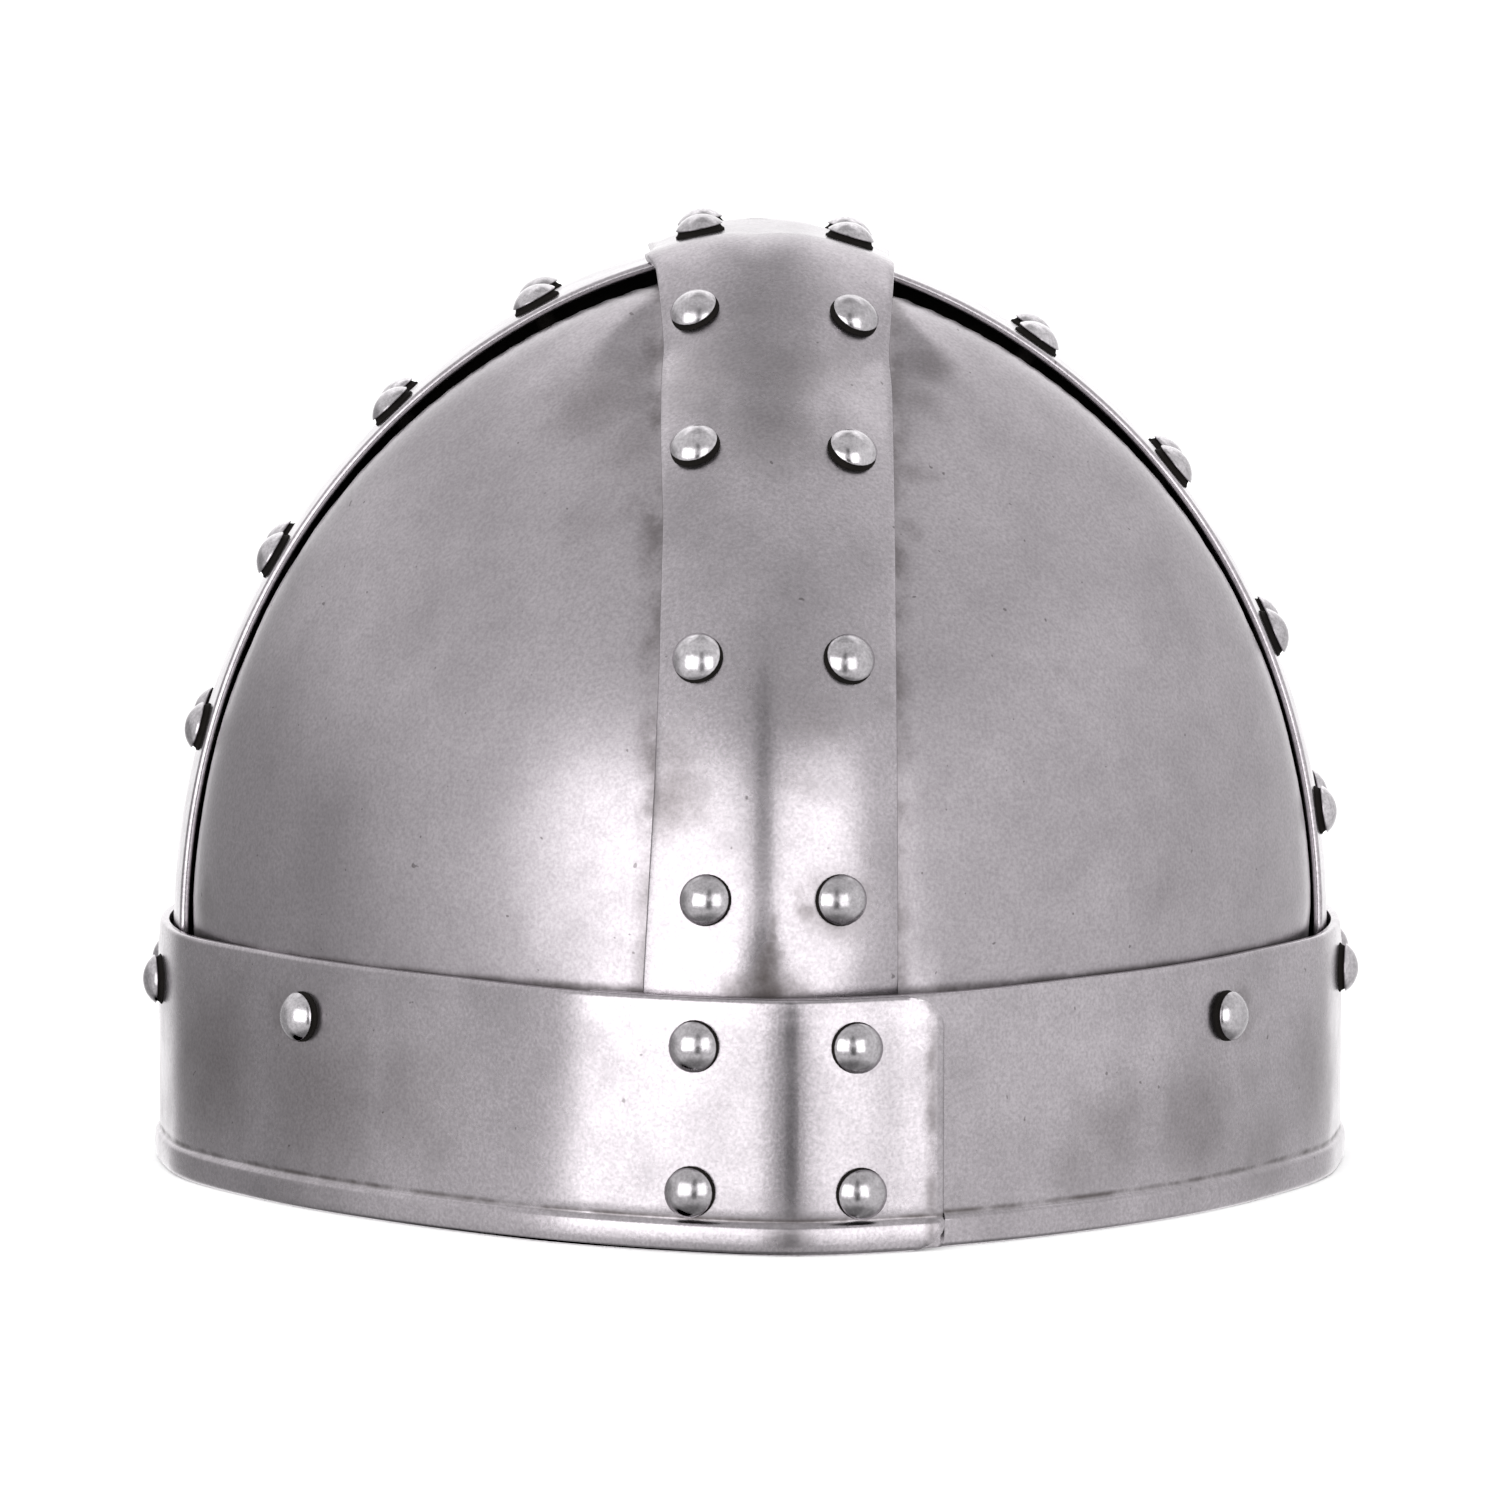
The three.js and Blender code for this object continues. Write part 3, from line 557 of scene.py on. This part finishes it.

# A crevice is an axis, a plane on it, half a width, how far the dirt and painted shade spread, how dark, and
# whether it is on the near side alone. Sizes are in millimetres in the shared frame.
# Dished plate: the dullest of the sheets, with wide soft highlights and a painted highlight band beside the
# side strap
plate_finish = satin_steel(
    "satin_sheet_steel_plates", "#bbb5ba", 0.31, smudges=0.86, sheen_band=("y", side_y, STRAP_HALF, 12.0),
    # Crevices: dirt and painted shade beside the front strap and just above the brow band
    crevices=[("x", front_x, STRAP_HALF, 4.5, 0.5, False), ("z", 0.0, BROW_HEIGHT - 0.5, 1.6, 0.6, False)],
    # Stains: the smallest are dark marks; the wider ones are dirt, with painted shade where they lie beside
    # the front strap's edges
    stains_and_shade=spots([
        (553, 495, 0.55, 1.0), (304, 767, 0.55, 1.0), (1045, 465, 0.55, 1.0), (1127, 603, 0.6, 1.0),
        (1042, 942, 0.6, 1.0), (597, 475, 5.0, 0.14), (585, 520, 7.0, 0.2), (630, 500, 5.0, 0.22),
        (215, 905, 5.0, 0.3), (300, 960, 8.0, 0.14), (915, 470, 4.0, 0.25), (925, 800, 5.0, 0.12),
        (645, 330, 6.0, 0.2), (500, 930, 6.0, 0.1), (1180, 900, 9.0, 0.1), (400, 600, 12.0, 0.1),
        (600, 400, 13.0, 0.34), (630, 445, 10.0, 0.3), (640, 370, 8.0, 0.3), (915, 400, 7.0, 0.25),
        (912, 460, 6.0, 0.35), (910, 525, 5.0, 0.3), (925, 370, 7.0, 0.3), (1071, 672, 3.0, 0.2),
        (1119, 822, 3.0, 0.2)]))
# Strap, wiped smoother: brighter, with sharper highlights and a foot darkened by dirt and painted shade
front_finish = satin_steel(
    "satin_strap_steel_front_to_back", "#c2bcc1", 0.25, smudges=0.8, brush=(1, 0.3, 0.3),
    crevices=[("z", 0.0, BROW_HEIGHT - 0.5, 1.0, 0.6, False)],
    # Stains: the run down the middle near the foot paints the dark reflected streak, those round the lowest
    # rivets and at the foot are painted shade, the rest are dirt and smudges
    stains_and_shade=spots([
        (687, 607, 0.5, 0.9), (840, 905, 7.0, 0.4), (812, 905, 3.5, 0.5), (868, 850, 2.5, 0.25),
        (705, 905, 5.2, 0.2), (766, 990, 6.0, 0.8), (766, 976, 4.4, 0.8), (766, 962, 3.2, 0.75),
        (765, 950, 2.4, 0.7), (764, 938, 1.9, 0.6), (764, 926, 1.5, 0.4), (740, 996, 5.0, 0.45),
        (795, 996, 5.0, 0.45), (790, 380, 11.0, 0.22), (775, 440, 12.0, 0.2), (790, 700, 9.0, 0.14),
        (720, 365, 8.0, 0.16), (664, 800, 9.0, 0.5), (672, 760, 7.0, 0.3), (690, 810, 6.0, 0.3),
        (812, 722, 7.0, 0.3), (800, 785, 5.0, 0.2), (745, 330, 9.0, 0.16), (695, 385, 11.0, 0.24),
        (835, 380, 8.0, 0.16), (880, 820, 0.5, 0.9), (885, 700, 3.0, 0.2), (700, 900, 5.0, 0.1)]))
# The same, cleaner
side_finish = satin_steel(
    "satin_strap_steel_side_to_side", "#c6c0c5", 0.25, smudges=0.85, brush=(0.3, 1, 0.3))
# Brow strip: as bright as the straps, painted darker at both sides as reflected dark surroundings, with dirt
# and painted shade in the hem's crease and a painted shadow beside the lap's end
brow_finish = satin_steel(
    "satin_strap_steel_brow", "#c4bec3", 0.25, smudges=0.82, brush=(0.3, 0.3, 1),
    # Crevices: dirt and painted shade in the hem's crease, and a painted shadow beside the lap's end
    crevices=[("z", 5.8, 0.0, 0.8, 0.7, False), ("x", LAP_OUTER_END + 1.2, 0.0, 1.6, 0.4, True)],
    # Stains: the patches at both sides and the run down the middle paint dark reflections, those round the
    # rivets are painted shade, the smallest are dark marks
    stains_and_shade=spots([
        (857, 1050, 5.5, 0.5), (885, 1075, 4.5, 0.3), (862, 1164, 4.0, 1.0), (860, 1195, 6.4, 0.6),
        (895, 1180, 3.4, 0.6), (785, 1240, 7.0, 0.6), (784, 1215, 5.0, 0.45), (770, 1010, 5.0, 0.4),
        (776, 1040, 4.5, 0.35), (886, 1195, 2.6, 0.8), (700, 1195, 4.8, 0.25), (1100, 1130, 12.0, 0.3),
        (1180, 1120, 14.0, 0.34), (1240, 1150, 11.0, 0.3), (1060, 1160, 8.0, 0.25), (1230, 1080, 6.0, 0.2),
        (1290, 1065, 14.0, 0.34), (262, 1172, 0.6, 1.0), (453, 1036, 0.5, 0.9), (650, 1143, 0.5, 0.8),
        (232, 1060, 20.0, 0.46), (330, 1095, 20.0, 0.4), (290, 1012, 6.2, 0.5), (420, 1100, 17.0, 0.24),
        (1232, 1012, 6.0, 0.45), (935, 1120, 0.6, 1.0), (925, 1222, 1.2, 0.9)]))
# Black painted shade for the gaps under the straps and the rivet heads
gap_shade_finish = painted_gap_shade()
# A filed edge, painted nearly white so that it also stands for the highlight its rounding catches, and without
# pricks
edge_and_highlight_finish = satin_steel("filed_edge_and_highlight_steel", "#ebe8ea", 0.25, pits=0.0, smudges=0.95)
# Soft rivet steel under the hammer: brighter and smoother than the sheets
rivet_finish = satin_steel("hammered_rivet_steel", "#dcd8dc", 0.21, pits=0.2, smudges=0.75)


# Quarter plates
UNDER_FRONT = STRAP_HALF - 3.5
UNDER_SIDE = 9.0
PLATE_ROWS = 44
PLATE_COLUMNS = 56
JUST_PAST = 1.0  # a form sets in this far past the edge of what it runs from
CLEAR_OF_STRAP = 8.0  # and the skirt leans out fully behind the brow band from here on


def under_straps(place, normal):
    """The parts of the plates' outer face that lie well under a strap, painted black as shade."""
    return abs(place.x - front_x) < UNDER_FRONT or abs(place.y - side_y) < UNDER_SIDE


def plate_points(toward_x, toward_y):
    """A plate's outer face, from the crown down, and its skirt behind the brow band. It is the plate of the
    quarter that the two signs give."""
    half_gap = PLATE_EDGE_GAP / 2
    corner = np.array([FRONT_STRAP_CENTRE + toward_x * half_gap, toward_y * half_gap, WALL_TOP])
    turn = np.radians(np.linspace(0.0, 90.0, PLATE_COLUMNS + 1))
    ends = on_dome(corner, np.stack([toward_x * np.cos(turn), toward_y * np.sin(turn), 0 * turn], -1))
    crown_slope = math.asin(-ARC_CENTRE / ARC_RADIUS)
    slope = np.linspace(crown_slope, math.pi / 2, PLATE_ROWS)
    share = np.clip((ARC_CENTRE + ARC_RADIUS * np.sin(slope)) / DOME_HALF_WIDTH, 0.0, 1.0)
    feet = corner + (ends - corner)[None] * share[:, None, None]
    face = on_dome(feet[:-1], [0.0, 0.0, 1.0])
    face = np.concatenate([face, ends[None]])
    skirt = face[-1:].copy()
    skirt[..., 2] = SKIRT_BOTTOM
    beside_strap = (STRAP_HALF + JUST_PAST, STRAP_HALF + CLEAR_OF_STRAP)
    clear = ease(np.abs(skirt[..., 0] - FRONT_STRAP_CENTRE), *beside_strap)
    clear = clear * ease(np.abs(skirt[..., 1]), *beside_strap)
    skirt = skirt + normal_at(skirt) * (clear * (brow_offset(skirt) - THINNEST_SEAT))[..., None]

    # The bulge stays under the front strap, and meets the side strap's inner face along its middle
    from_middle = face[..., 0] - FRONT_STRAP_CENTRE
    beside = face.copy()
    beside[..., 0] = FRONT_STRAP_CENTRE + np.clip(from_middle, -STRAP_HALF, STRAP_HALF)
    past_edge = np.clip(np.abs(from_middle) - STRAP_HALF, 0.0, None)
    room = np.maximum(front_strap_offset(beside) - STRAP_ROOM + STRAP_ROOM_SLOPE * past_edge, 0.1)
    bulge = -np.logaddexp(-SOFT_CORNER * plate_lift(face), -SOFT_CORNER * room) / SOFT_CORNER
    meets = 1 - ease(np.abs(face[..., 1]), half_gap + JUST_PAST, UNDER_SIDE)
    lift = mix(bulge, side_strap_offset(face) - SEAM, meets)
    face = face + normal_at(face) * lift[..., None]
    return np.concatenate([face, skirt])


for name, toward_x, toward_y in (
        ("near_left", -1, -1), ("near_right", 1, -1), ("far_left", -1, 1), ("far_right", 1, 1)):
    plate = laid_grid(f"sheet_plate_{name}", plate_points(toward_x, toward_y))
    edit(plate, MERGE, OUTWARDS)
    finish_with(plate, ("SOLIDIFY", {"thickness": SHEET * MM, "offset": -1.0}))
    smooth(plate, 40)
    ready(plate, plate_finish, "plate_steel", f"plate_{name}", painted_shade_at=under_straps)


# Straps
STEPS_ACROSS = 24
STEPS_DOWN_ARM = 72
STEPS_OVER_CROSSING = 16
STRAP_EDGE_SHOWN = 5.0
INSIDE_HEIGHT = 50.0  # a point inside the helmet, from which every sheet faces outwards
outer_sheets = []  # what a rivet's head can stand on


def strap_points(feet_at, offset_at, side_step):
    """A strap's outer face, from foot to foot over the crown."""
    edge = math.atan2(STRAP_HALF + SHEET_GAP, ARC_RISE)
    arm = np.linspace(edge, math.pi / 2, STEPS_DOWN_ARM + 1)
    middle = np.linspace(-edge, edge, STEPS_OVER_CROSSING + 1)[1:-1]
    turns = np.concatenate([-arm[::-1], middle, arm])
    lateral = np.linspace(-STRAP_HALF, STRAP_HALF, STEPS_ACROSS + 1)
    turn, side = np.meshgrid(turns, lateral, indexing="ij")
    feet = feet_at(turn, side)
    first, last = feet[:1].copy(), feet[-1:].copy()
    for end in (first, last):
        end[..., 2] = SKIRT_BOTTOM
    feet = np.concatenate([first, feet, last])
    return feet + normal_at(feet, side_step) * (offset_at(feet) + SHEET)[..., None]


def under_face(place, normal):
    """The inner faces of the straps, but for a few millimetres along their edges, painted black as shade."""
    across = min(abs(place.y - side_y), abs(place.x - front_x))
    outwards = place - Vector((0, 0, INSIDE_HEIGHT))
    return normal.dot(outwards) < -0.5 * outwards.length and across < STRAP_HALF - STRAP_EDGE_SHOWN


for name, feet_at, offset_at, side_step, bevel, finish in (
        ("side_to_side", side_strap_feet, side_strap_offset, KEEL_SIDE_STEP, 0.72, side_finish),
        ("front_back", front_strap_feet, front_strap_offset, STRAP_SIDE_STEP, 0.4, front_finish)):
    strap = laid_grid(f"strap_{name}", strap_points(feet_at, offset_at, side_step))
    edit(strap, OUTWARDS)
    outer_sheets.append(strap)
    finish_with(strap, ("SOLIDIFY", {"thickness": SHEET * MM, "offset": -1.0}),
                ("BEVEL", {"width": bevel * MM, "segments": 3, "limit_method": "ANGLE",
                           "angle_limit": math.radians(50)}))
    smooth(strap, 40)
    ready(strap, finish, "strap_steel", f"band_{name}", painted_shade_at=under_face)


# Brow band
# Its section as [height, distance out from the inner face]: once round from the lip at the top, down the
# outside, round the hem and up the inside
BROW_SECTION = [
    [42.0, 0.35], [42.0, 0.85], [41.8, 1.15], [41.2, 1.3], [40.0, 1.4], [38.9, 1.48], [38.2, 1.55],
    [37.6, 1.59], [36.8, 1.6], [33.0, 1.6], [28.0, 1.6], [22.0, 1.6], [16.0, 1.6], [11.0, 1.6], [7.6, 1.6],
    [6.2, 1.59], [5.75, 1.5], [5.45, 1.5], [5.15, 1.75], [4.9, 2.1], [4.4, 2.32], [3.4, 2.38], [2.0, 2.35],
    [0.9, 2.25], [0.3, 1.95], [0.0, 1.45], [0.0, 0.5], [0.3, 0.05], [1.2, 0.0], [10.0, 0.0], [24.0, 0.0],
    [37.5, 0.0], [39.5, -0.2], [41.5, -0.42], [41.9, -0.3],
]
HEM_TOP = 5.6
LAP_SPRING = 0.7  # the free end stands off a little
LAP_SPRING_RUN = 8.0
LAP_ROUNDING = 0.9
BROW_STEP = 1.6  # degrees
CORNER_STEPS = 9
BRIGHT_EDGE = (-0.05, 0.8)  # how far short of the lap's end its filed edge reaches
NEAR_END = -90.0  # the lap lies on the near side of this
EDGE_FACES_RIGHT = 0.35  # and its edge looks at least this much to the right


def brow_points():
    """The brow band's section at each angle, from its inner end round to the end that laps over it."""
    start = near_angle_at(LAP_INNER_END)
    corner = near_angle_at(LAP_OUTER_END - LAP_CORNER)
    hem_starts = near_angle_at(LAP_OUTER_END + 1.5 * SHEET_GAP)
    degrees = list(np.arange(start, 360 + corner, BROW_STEP))
    degrees += [near_angle_at(LAP_OUTER_END + gaps * SHEET_GAP) for gaps in (1, 2)]
    rounding = [0.0] * len(degrees)
    for share in np.sin(np.radians(np.linspace(0, 90, CORNER_STEPS + 1))):
        degrees.append(360 + near_angle_at(LAP_OUTER_END - LAP_CORNER * (1 - share)))
        rounding.append(LAP_CORNER * (1 - math.sqrt(1 - share ** 2)))
    order = np.argsort(degrees)
    degrees, rounding = np.array(degrees)[order], np.array(rounding)[order]
    wall = wall_point(degrees)
    away = normal_at(wall, BROW_SIDE_STEP)
    base = brow_offset(wall) + np.where(degrees > 180, lap_rise(wall), 0.0)
    base = base - keel_sink(wall, BROW_SIDE_STEP)

    # The outer end springs off the sheet below, and its edge is rounded off
    short_of_end = np.clip(LAP_OUTER_END - wall[:, 0], 0.0, None)
    outer_end = degrees > 200
    base = base + np.where(outer_end, LAP_SPRING * (1 - ease(short_of_end, 0.0, LAP_SPRING_RUN)), 0.0)
    inset = np.clip(LAP_ROUNDING - short_of_end, 0.0, None)
    round_off = np.where(outer_end, LAP_ROUNDING - np.sqrt(LAP_ROUNDING ** 2 - inset ** 2), 0.0)

    # The covered inner end has no hem
    covered = degrees < hem_starts
    ring = []
    for height, out in BROW_SECTION + BROW_SECTION[:1]:
        hem = 0.0 if out <= SHEET or height > HEM_TOP else out - SHEET
        here = np.where(covered, out - hem, out) - round_off * max(out, 0.0) / SHEET
        points = wall + away * (base + here + brow_flare(wall, height))[:, None]
        points[:, 2] = np.clip(height, rounding, BROW_HEIGHT - rounding)
        ring.append(points)
    return np.array(ring)


brow = laid_grid("brow_strip", brow_points())
outer_sheets.append(brow)
edit(brow, MERGE, (bpy.ops.mesh.fill_holes, {"sides": 200}), OUTWARDS)
smooth(brow, 45)
ready(brow, brow_finish, "brow_steel", "brow_band")
# The lap's cut edge: a filed edge with a painted highlight
brow.data.materials.append(edge_and_highlight_finish)
for face in brow.data.polygons:
    middle = face.center / MM - Vector(ROW_SHIFT)
    at_edge = BRIGHT_EDGE[0] < LAP_OUTER_END - middle.x < BRIGHT_EDGE[1]
    if middle.y < NEAR_END and at_edge and face.normal.x > EDGE_FACES_RIGHT:
        face.material_index = 1


# Rivets
HEAD_RISE = 2.0  # the dome of a head alone
HEAD_STANDS_OFF = 1.2
CAP_STEPS = 9
RIVET_SIDES = 28
UNDER_HEAD = HEAD_STANDS_OFF - 0.28  # painted black as shade from here down
SEAT_SPOKES = 8  # rays round a head's rim, and one more down its middle
SEAT_REACH = 6.0  # from this far over the head
SEAT_DEPTH = 8.0  # to this far under its top


def rivet_line(node):
    """A rivet's line in the CAD model, from its tail's tip to its head's, in metres."""
    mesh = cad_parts[node].data
    points = np.zeros(len(mesh.vertices) * 3, np.float32)
    mesh.vertices.foreach_get("co", points)
    points = np.unique(np.round(points.reshape(-1, 3).astype(float), 7), axis=0)
    centre = points.mean(axis=0)
    spread, directions = np.linalg.eigh(np.cov((points - centre).T))
    axis = directions[:, 2] if spread[2] - spread[1] > spread[1] - spread[0] else directions[:, 0]
    if axis @ (centre - np.array([0, 0, INSIDE_HEIGHT * MM])) < 0:
        axis = -axis
    reach = (points - centre) @ axis
    return centre + axis * reach.min(), centre + axis * reach.max()


def seat_of(tail, head, axis):
    """How high the sheets stand under a head's rim, in metres from its tail, and which way they face."""
    turn = axis.to_track_quat("Z", "Y")
    reach = []
    facing = Vector((0, 0, 0))
    for spoke in range(SEAT_SPOKES + 1):
        angle = spoke * 2 * math.pi / SEAT_SPOKES
        rim = 0.0 if spoke == SEAT_SPOKES else HEAD_RADIUS * MM
        above = Vector((rim * math.cos(angle), rim * math.sin(angle), SEAT_REACH * MM))
        start = Vector(head) + turn @ above
        for sheet in outer_sheets:
            hit, place, normal, _ = sheet.ray_cast(start, -axis, distance=(SEAT_REACH + SEAT_DEPTH) * MM)
            if hit:
                reach.append((place - Vector(tail)).dot(axis))
                facing += normal
    return max(reach), facing.normalized()


def rivet(name, node, seed):
    """A rivet with a low domed head that stands a little off the sheet over a gap painted black as shade."""
    tail, head = rivet_line(node)
    line = Vector(head - tail).normalized()
    seat, facing = seat_of(tail, head, line)
    foot = Vector(tail) + line * seat
    below = seat / MM
    top = HEAD_STANDS_OFF + HEAD_RISE
    rim = HEAD_RADIUS
    cap_radius = (rim ** 2 + HEAD_RISE ** 2) / (2 * HEAD_RISE)
    cap_turn = math.asin(rim / cap_radius)

    # Half a section as [radius, height over the sheet]: cap, turned edge, gap painted black as shade, shank
    # and tail. The gap's foot shows as a thin ring round the head, painted black as shade
    profile = []
    for step in range(1, CAP_STEPS + 1):
        turned = cap_turn * step / CAP_STEPS
        profile.append([cap_radius * math.sin(turned), top - cap_radius * (1 - math.cos(turned))])
    profile += [[rim + 0.05, HEAD_STANDS_OFF - 0.12], [rim, HEAD_STANDS_OFF - 0.26],
                [rim * 0.9, HEAD_STANDS_OFF - 0.34],
                [rim * 0.97, 0.3], [rim * 1.045, 0.06], [rim * 1.045, -0.5],
                [SHANK_RADIUS, -0.6], [SHANK_RADIUS, TAIL_HEIGHT - below],
                [TAIL_RADIUS, TAIL_HEIGHT * 0.9 - below], [TAIL_RADIUS * 0.8, TAIL_HEIGHT * 0.35 - below]]

    # No head is quite round: the hammer leaves each a little different
    turn = np.radians(np.arange(RIVET_SIDES + 1) * 360 / RIVET_SIDES)
    wobble = np.random.default_rng(seed).normal(0, 0.012, 4)
    ring = 1 + wobble[0] * np.cos(turn + wobble[1] * 200) + wobble[2] * np.cos(2 * turn + wobble[3] * 200)
    points = [[[0, 0, top]] * (RIVET_SIDES + 1)]
    for radius, height in profile:
        points.append([[radius * k * math.cos(t), radius * k * math.sin(t), height]
                       for t, k in zip(turn, ring)])
    points += [[[0, 0, -below]] * (RIVET_SIDES + 1)]
    piece = laid_grid(name, np.array(points) - np.array(ROW_SHIFT))
    edit(piece, MERGE, OUTWARDS)
    spin = Matrix.Rotation(float(np.random.default_rng(seed).uniform(0, 6.28)), 4, "Z")
    lean = facing.to_track_quat("Z", "Y").to_matrix().to_4x4()
    piece.data.transform(Matrix.Translation(foot) @ lean @ spin)
    smooth(piece, 40)
    # The head's underside and the gap below it are painted black as shade
    ready(piece, rivet_finish, "rivet_steel", node,
          painted_shade_at=lambda place, normal: (place * MM - foot).dot(facing) < UNDER_HEAD * MM)


rivet_nodes = sorted(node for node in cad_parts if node.startswith("rivet_"))
for number, node in enumerate(rivet_nodes):
    rivet(node.replace("rivet_", "domed_rivet_"), node, number)


# Studio
deselect()
bpy.ops.mesh.primitive_plane_add(size=80.0)
floor = bpy.context.object
floor.name = "studio_floor"
# Matt background paper: a plain, even white without gloss
paper, tree = bare_material("white_paper_floor")
fibres = add(tree, "TexNoise", {"Vector": add(tree, "TexCoord", out="Object"), "Scale": 300.0}, out="Fac")
white = add(tree, "Mix", {"Factor": fibres, "A": linear("#fafafa"), "B": linear("#f4f4f4")}, out="Result",
            data_type="RGBA")
shader = add(tree, "BsdfPrincipled", {"Base Color": white, "Roughness": 0.9, "Specular IOR Level": 0.0})
add(tree, "OutputMaterial", {"Surface": shader})
floor.data.materials.append(paper)
# The steel mirrors the room all round instead of the bright paper
floor.visible_glossy = False
floor.visible_shadow = False

# Soft lights round the helmet: degrees round from the camera's side, positive to the right, degrees up,
# distance, width and height in metres, and how bright the face is
LIT_PLACE = Vector((0.0, 0.0, 0.09))
for name, azimuth, elevation, distance, width, height, radiance in (
        ("softbox_left", -36.5, 6, 1.6, 1.4, 1.15, 2.2),
        ("softbox_right", 25.5, 6, 1.6, 0.86, 1.15, 1.9),
        ("overhead_fill", 180, 89.9, 9.0, 60.0, 60.0, 0.75)):
    turn, rise = math.radians(azimuth), math.radians(elevation)
    away = Vector((math.sin(turn) * math.cos(rise), -math.cos(turn) * math.cos(rise), math.sin(rise)))
    bpy.ops.object.light_add(type="AREA", location=LIT_PLACE + distance * away)
    light = bpy.context.object
    light.name = name
    light.data.shape = "RECTANGLE"
    light.data.size, light.data.size_y = width, height
    light.data.energy = radiance * math.pi * width * height
    light.visible_camera = False
    light.rotation_euler = (-away).to_track_quat("-Z", "Y").to_euler()
bpy.data.objects["overhead_fill"].visible_glossy = False  # it lights the paper and isn't seen in the steel

# The room: pale all round, white behind the helmet, darker below and in a strip behind the camera
ROOM = 0.84
world = bpy.data.worlds.new("studio_room")
bpy.context.scene.world = world
world.use_nodes = True
tree = world.node_tree
tree.nodes.clear()
toward = add(tree, "TexCoord", out="Generated")
ahead = add(tree, "Math", [add(tree, "SeparateXYZ", [toward], out="Y"), -1.0], operation="MULTIPLY")
azimuth = add(tree, "Math", [add(tree, "SeparateXYZ", [toward], out="X"), ahead], operation="ARCTAN2")
azimuth = add(tree, "Math", [azimuth], operation="DEGREES")
elevation = add(tree, "Math", [add(tree, "SeparateXYZ", [toward], out="Z")], operation="ARCSINE")
elevation = add(tree, "Math", [elevation], operation="DEGREES")

# Soft-edged patches of the room, in degrees: centre, half width and fade across, lowest, highest and fade
# in height, and how much brighter than the room each is
light_level = ROOM
for centre, half, fade, low, high, soft, change in (
        (180, 14, 30, -90, 44, 16, 0.7),
        (-180, 14, 30, -90, 44, 16, 0.7),
        (-120, 15, 25, -90, 6, 20, -0.42),
        (65, 20, 25, -90, 25, 20, 0.16),
        (140, 14, 20, 50, 60, 8, 0.6),
        (-140, 14, 20, 50, 60, 8, 0.6),
        (0, 7, 6, -22, 1, 7, -0.75),
        (0, 180, 1, -90, -58, 26, -0.6),
        (0, 5, 6, 27, 40, 14, -0.6),
        (0, 25, 40, 38, 60, 14, -0.1),
        (120, 30, 25, 22, 34, 12, 0.12),
        (-120, 30, 25, 22, 34, 12, 0.12),
        (180, 50, 40, 62, 100, 12, -0.26),
        (-180, 50, 40, 62, 100, 12, -0.26)):
    apart = add(tree, "Math", [azimuth, centre], operation="SUBTRACT")
    apart = add(tree, "Math", [apart], operation="ABSOLUTE")
    wide = add(tree, "MapRange", [apart, half, half + fade, change, 0.0], interpolation_type="SMOOTHSTEP")
    over = add(tree, "MapRange", [elevation, high, high + soft, 1.0, 0.0], interpolation_type="SMOOTHSTEP")
    under = add(tree, "MapRange", [elevation, low - soft, low, 0.0, 1.0], interpolation_type="SMOOTHSTEP")
    tall = add(tree, "Math", [over, under], operation="MULTIPLY")
    light_level = add(tree, "Math", [wide, tall, light_level], operation="MULTIPLY_ADD")
background = add(tree, "Background", {"Color": (1, 1, 1, 1), "Strength": light_level})
add(tree, "OutputWorld", {"Surface": background})

bpy.ops.object.camera_add(location=Vector(CAMERA_PLACE) * MM,
                          rotation=(math.radians(90 - CAMERA_DIP), 0.0, 0.0))
camera = bpy.context.object
camera.name = "photo_camera"
camera.data.sensor_width = SENSOR
camera.data.lens = CAMERA_LENS
camera.data.clip_end = 200.0
bpy.context.scene.camera = camera
bpy.context.scene.view_settings.view_transform = "Standard"
